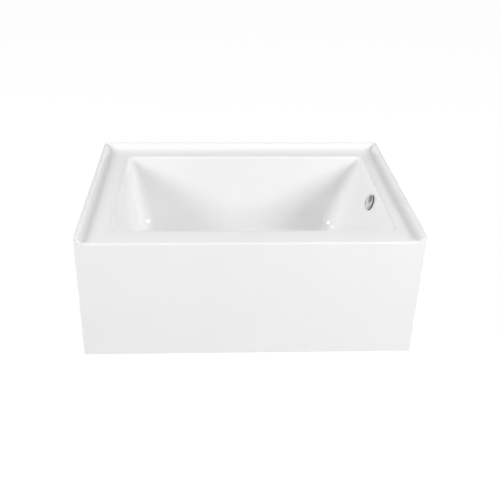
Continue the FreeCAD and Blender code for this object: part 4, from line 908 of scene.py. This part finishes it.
class BATHTUB_OT_stage(bpy.types.Operator):
    """Lay the pale floor and set up the lights and the camera"""

    bl_idname = "bathtub.stage"
    bl_label = "Studio"

    def execute(self, context):
        scene = context.scene
        studio = scene.bathtub_studio
        self.lay_floor(scene, studio)
        self.surround(scene, studio)
        self.light(scene, studio)
        self.stand_camera(scene, studio)
        return {"FINISHED"}

    def lay_floor(self, scene, studio):
        """A wide pale floor, mostly plain white to the camera, with the object's faint shadow."""
        mesh = bpy.data.meshes.new("studio_floor")
        sheet = bmesh.new()
        bmesh.ops.create_grid(sheet, x_segments=1, y_segments=1, size=studio.floor_side / 2)
        sheet.to_mesh(mesh)
        sheet.free()
        floor = bpy.data.objects.new("studio_floor", mesh)
        scene.collection.objects.link(floor)
        material, tree, shader = shader_of("studio_floor")
        shader.inputs["Base Color"].default_value = (studio.bounce, studio.bounce, studio.bounce, 1.0)
        shader.inputs["Roughness"].default_value = FLOOR_ROUGHNESS
        shader.inputs["Specular IOR Level"].default_value = 0.0
        shader.inputs["Emission Color"].default_value = WHITE
        shader.inputs["Emission Strength"].default_value = studio.floor_glow
        output = tree.nodes["Material Output"]
        white = add(tree, "ShaderNodeEmission", strength=studio.backdrop)
        seen = self.as_seen(tree, shader.outputs["BSDF"], white.outputs["Emission"], studio.floor_white)
        tree.links.new(seen, output.inputs["Surface"])
        mesh.materials.append(material)

    def as_seen(self, tree, lit, white, share):
        """A share of plain white over the lit shader for the camera's rays, the lit one for all others."""
        path = add(tree, "ShaderNodeLightPath")
        part = add(tree, "ShaderNodeMath", operation="MULTIPLY")
        part.inputs[1].default_value = share
        tree.links.new(path.outputs["Is Camera Ray"], part.inputs[0])
        choice = add(tree, "ShaderNodeMixShader")
        tree.links.new(part.outputs["Value"], choice.inputs["Fac"])
        tree.links.new(lit, choice.inputs[1])
        tree.links.new(white, choice.inputs[2])
        return choice.outputs["Shader"]

    def surround(self, scene, studio):
        """Even light from all round, stronger towards the horizon where the paper walls stand."""
        world = bpy.data.worlds.new("studio_world")
        world.use_nodes = True
        tree = world.node_tree
        background = tree.nodes["Background"]
        background.inputs["Color"].default_value = WHITE
        split = add(tree, "ShaderNodeSeparateXYZ")
        tree.links.new(add(tree, "ShaderNodeTexCoord").outputs["Generated"], split.inputs["Vector"])
        walls = add(
            tree, "ShaderNodeMapRange", from_min=0.0, from_max=WALL_TOP, to_min=studio.walls, to_max=0.0)
        walls.interpolation_type = "SMOOTHSTEP"
        tree.links.new(split.outputs["Z"], walls.inputs["Value"])
        total = add(tree, "ShaderNodeMath", operation="ADD")
        total.inputs[1].default_value = studio.sky
        tree.links.new(walls.outputs["Result"], total.inputs[0])
        tree.links.new(total.outputs["Value"], background.inputs["Strength"])
        white = add(tree, "ShaderNodeBackground", strength=studio.backdrop)
        white.inputs["Color"].default_value = WHITE
        output = tree.nodes["World Output"]
        seen = self.as_seen(tree, background.outputs["Background"], white.outputs["Background"], 1.0)
        tree.links.new(seen, output.inputs["Surface"])
        scene.world = world

    def light(self, scene, studio):
        """Two large softboxes, left and right of the camera, and plain colours."""
        scene.view_settings.view_transform = "Standard"
        target = Vector((0.0, 0.0, CAD_BOX[1][2]))
        for name, way, power in (
            ("softbox_left", studio.left_way, studio.left_light),
            ("softbox_right", studio.right_way, studio.right_light),
        ):
            place = target + Vector(way).normalized() * studio.softbox_distance
            softbox(name, place, target, studio.softbox, power)

    def stand_camera(self, scene, studio):
        """The photograph's viewing angle, with a shift to where its camera axis meets the picture."""
        lens = bpy.data.cameras.new("camera")
        camera = bpy.data.objects.new("camera", lens)
        scene.collection.objects.link(camera)
        yaw, pitch, roll = studio.camera_yaw, studio.camera_pitch, studio.camera_roll
        ahead = math.cos(pitch)
        forward = Vector((math.sin(yaw) * ahead, math.cos(yaw) * ahead, -math.sin(pitch)))
        level = Vector((math.cos(yaw), -math.sin(yaw), 0.0))
        above = level.cross(forward)
        right = level * math.cos(roll) + above * math.sin(roll)
        up = above * math.cos(roll) - level * math.sin(roll)
        turn = Matrix((right, up, -forward)).transposed()
        camera.matrix_world = Matrix.Translation(studio.camera_place) @ turn.to_4x4()
        lens.sensor_width = SENSOR
        lens.lens = FOCAL_PIXELS / PICTURE_SIDE * SENSOR
        lens.shift_x = (PICTURE_SIDE / 2 - AXIS_PIXEL[0]) / PICTURE_SIDE
        lens.shift_y = (AXIS_PIXEL[1] - PICTURE_SIDE / 2) / PICTURE_SIDE
        scene.camera = camera


class BATHTUB_PT_panel(bpy.types.Panel):
    """The bathtub's pieces in the sidebar"""

    bl_idname = "BATHTUB_PT_panel"
    bl_label = "Bathtub"
    bl_space_type = "VIEW_3D"
    bl_region_type = "UI"
    bl_category = "Bathtub"

    def draw(self, context):
        for piece in PIECES:
            self.layout.operator(piece.bl_idname)
        scene = context.scene
        for group in (scene.bathtub_sizes, scene.bathtub_colours, scene.bathtub_studio):
            box = self.layout.box()
            for name in group.__annotations__:
                box.prop(group, name)


PIECES = (
    BATHTUB_OT_finishes, BATHTUB_OT_shell, BATHTUB_OT_woodwork, BATHTUB_OT_steelwork, BATHTUB_OT_feet,
    BATHTUB_OT_drain, BATHTUB_OT_stopper, BATHTUB_OT_overflow, BATHTUB_OT_waste, BATHTUB_OT_stage,
)
CLASSES = (FinishColours, PieceSizes, StudioSettings, *PIECES, BATHTUB_PT_panel)


def register():
    for kind in CLASSES:
        bpy.utils.register_class(kind)
    bpy.types.Scene.bathtub_colours = PointerProperty(type=FinishColours)
    bpy.types.Scene.bathtub_sizes = PointerProperty(type=PieceSizes)
    bpy.types.Scene.bathtub_studio = PointerProperty(type=StudioSettings)


def unregister():
    del bpy.types.Scene.bathtub_studio
    del bpy.types.Scene.bathtub_sizes
    del bpy.types.Scene.bathtub_colours
    for kind in reversed(CLASSES):
        bpy.utils.unregister_class(kind)


def main():
    register()
    for piece in PIECES:
        area, call = piece.bl_idname.split(".")
        getattr(getattr(bpy.ops, area), call)()


if __name__ == "__main__":
    main()
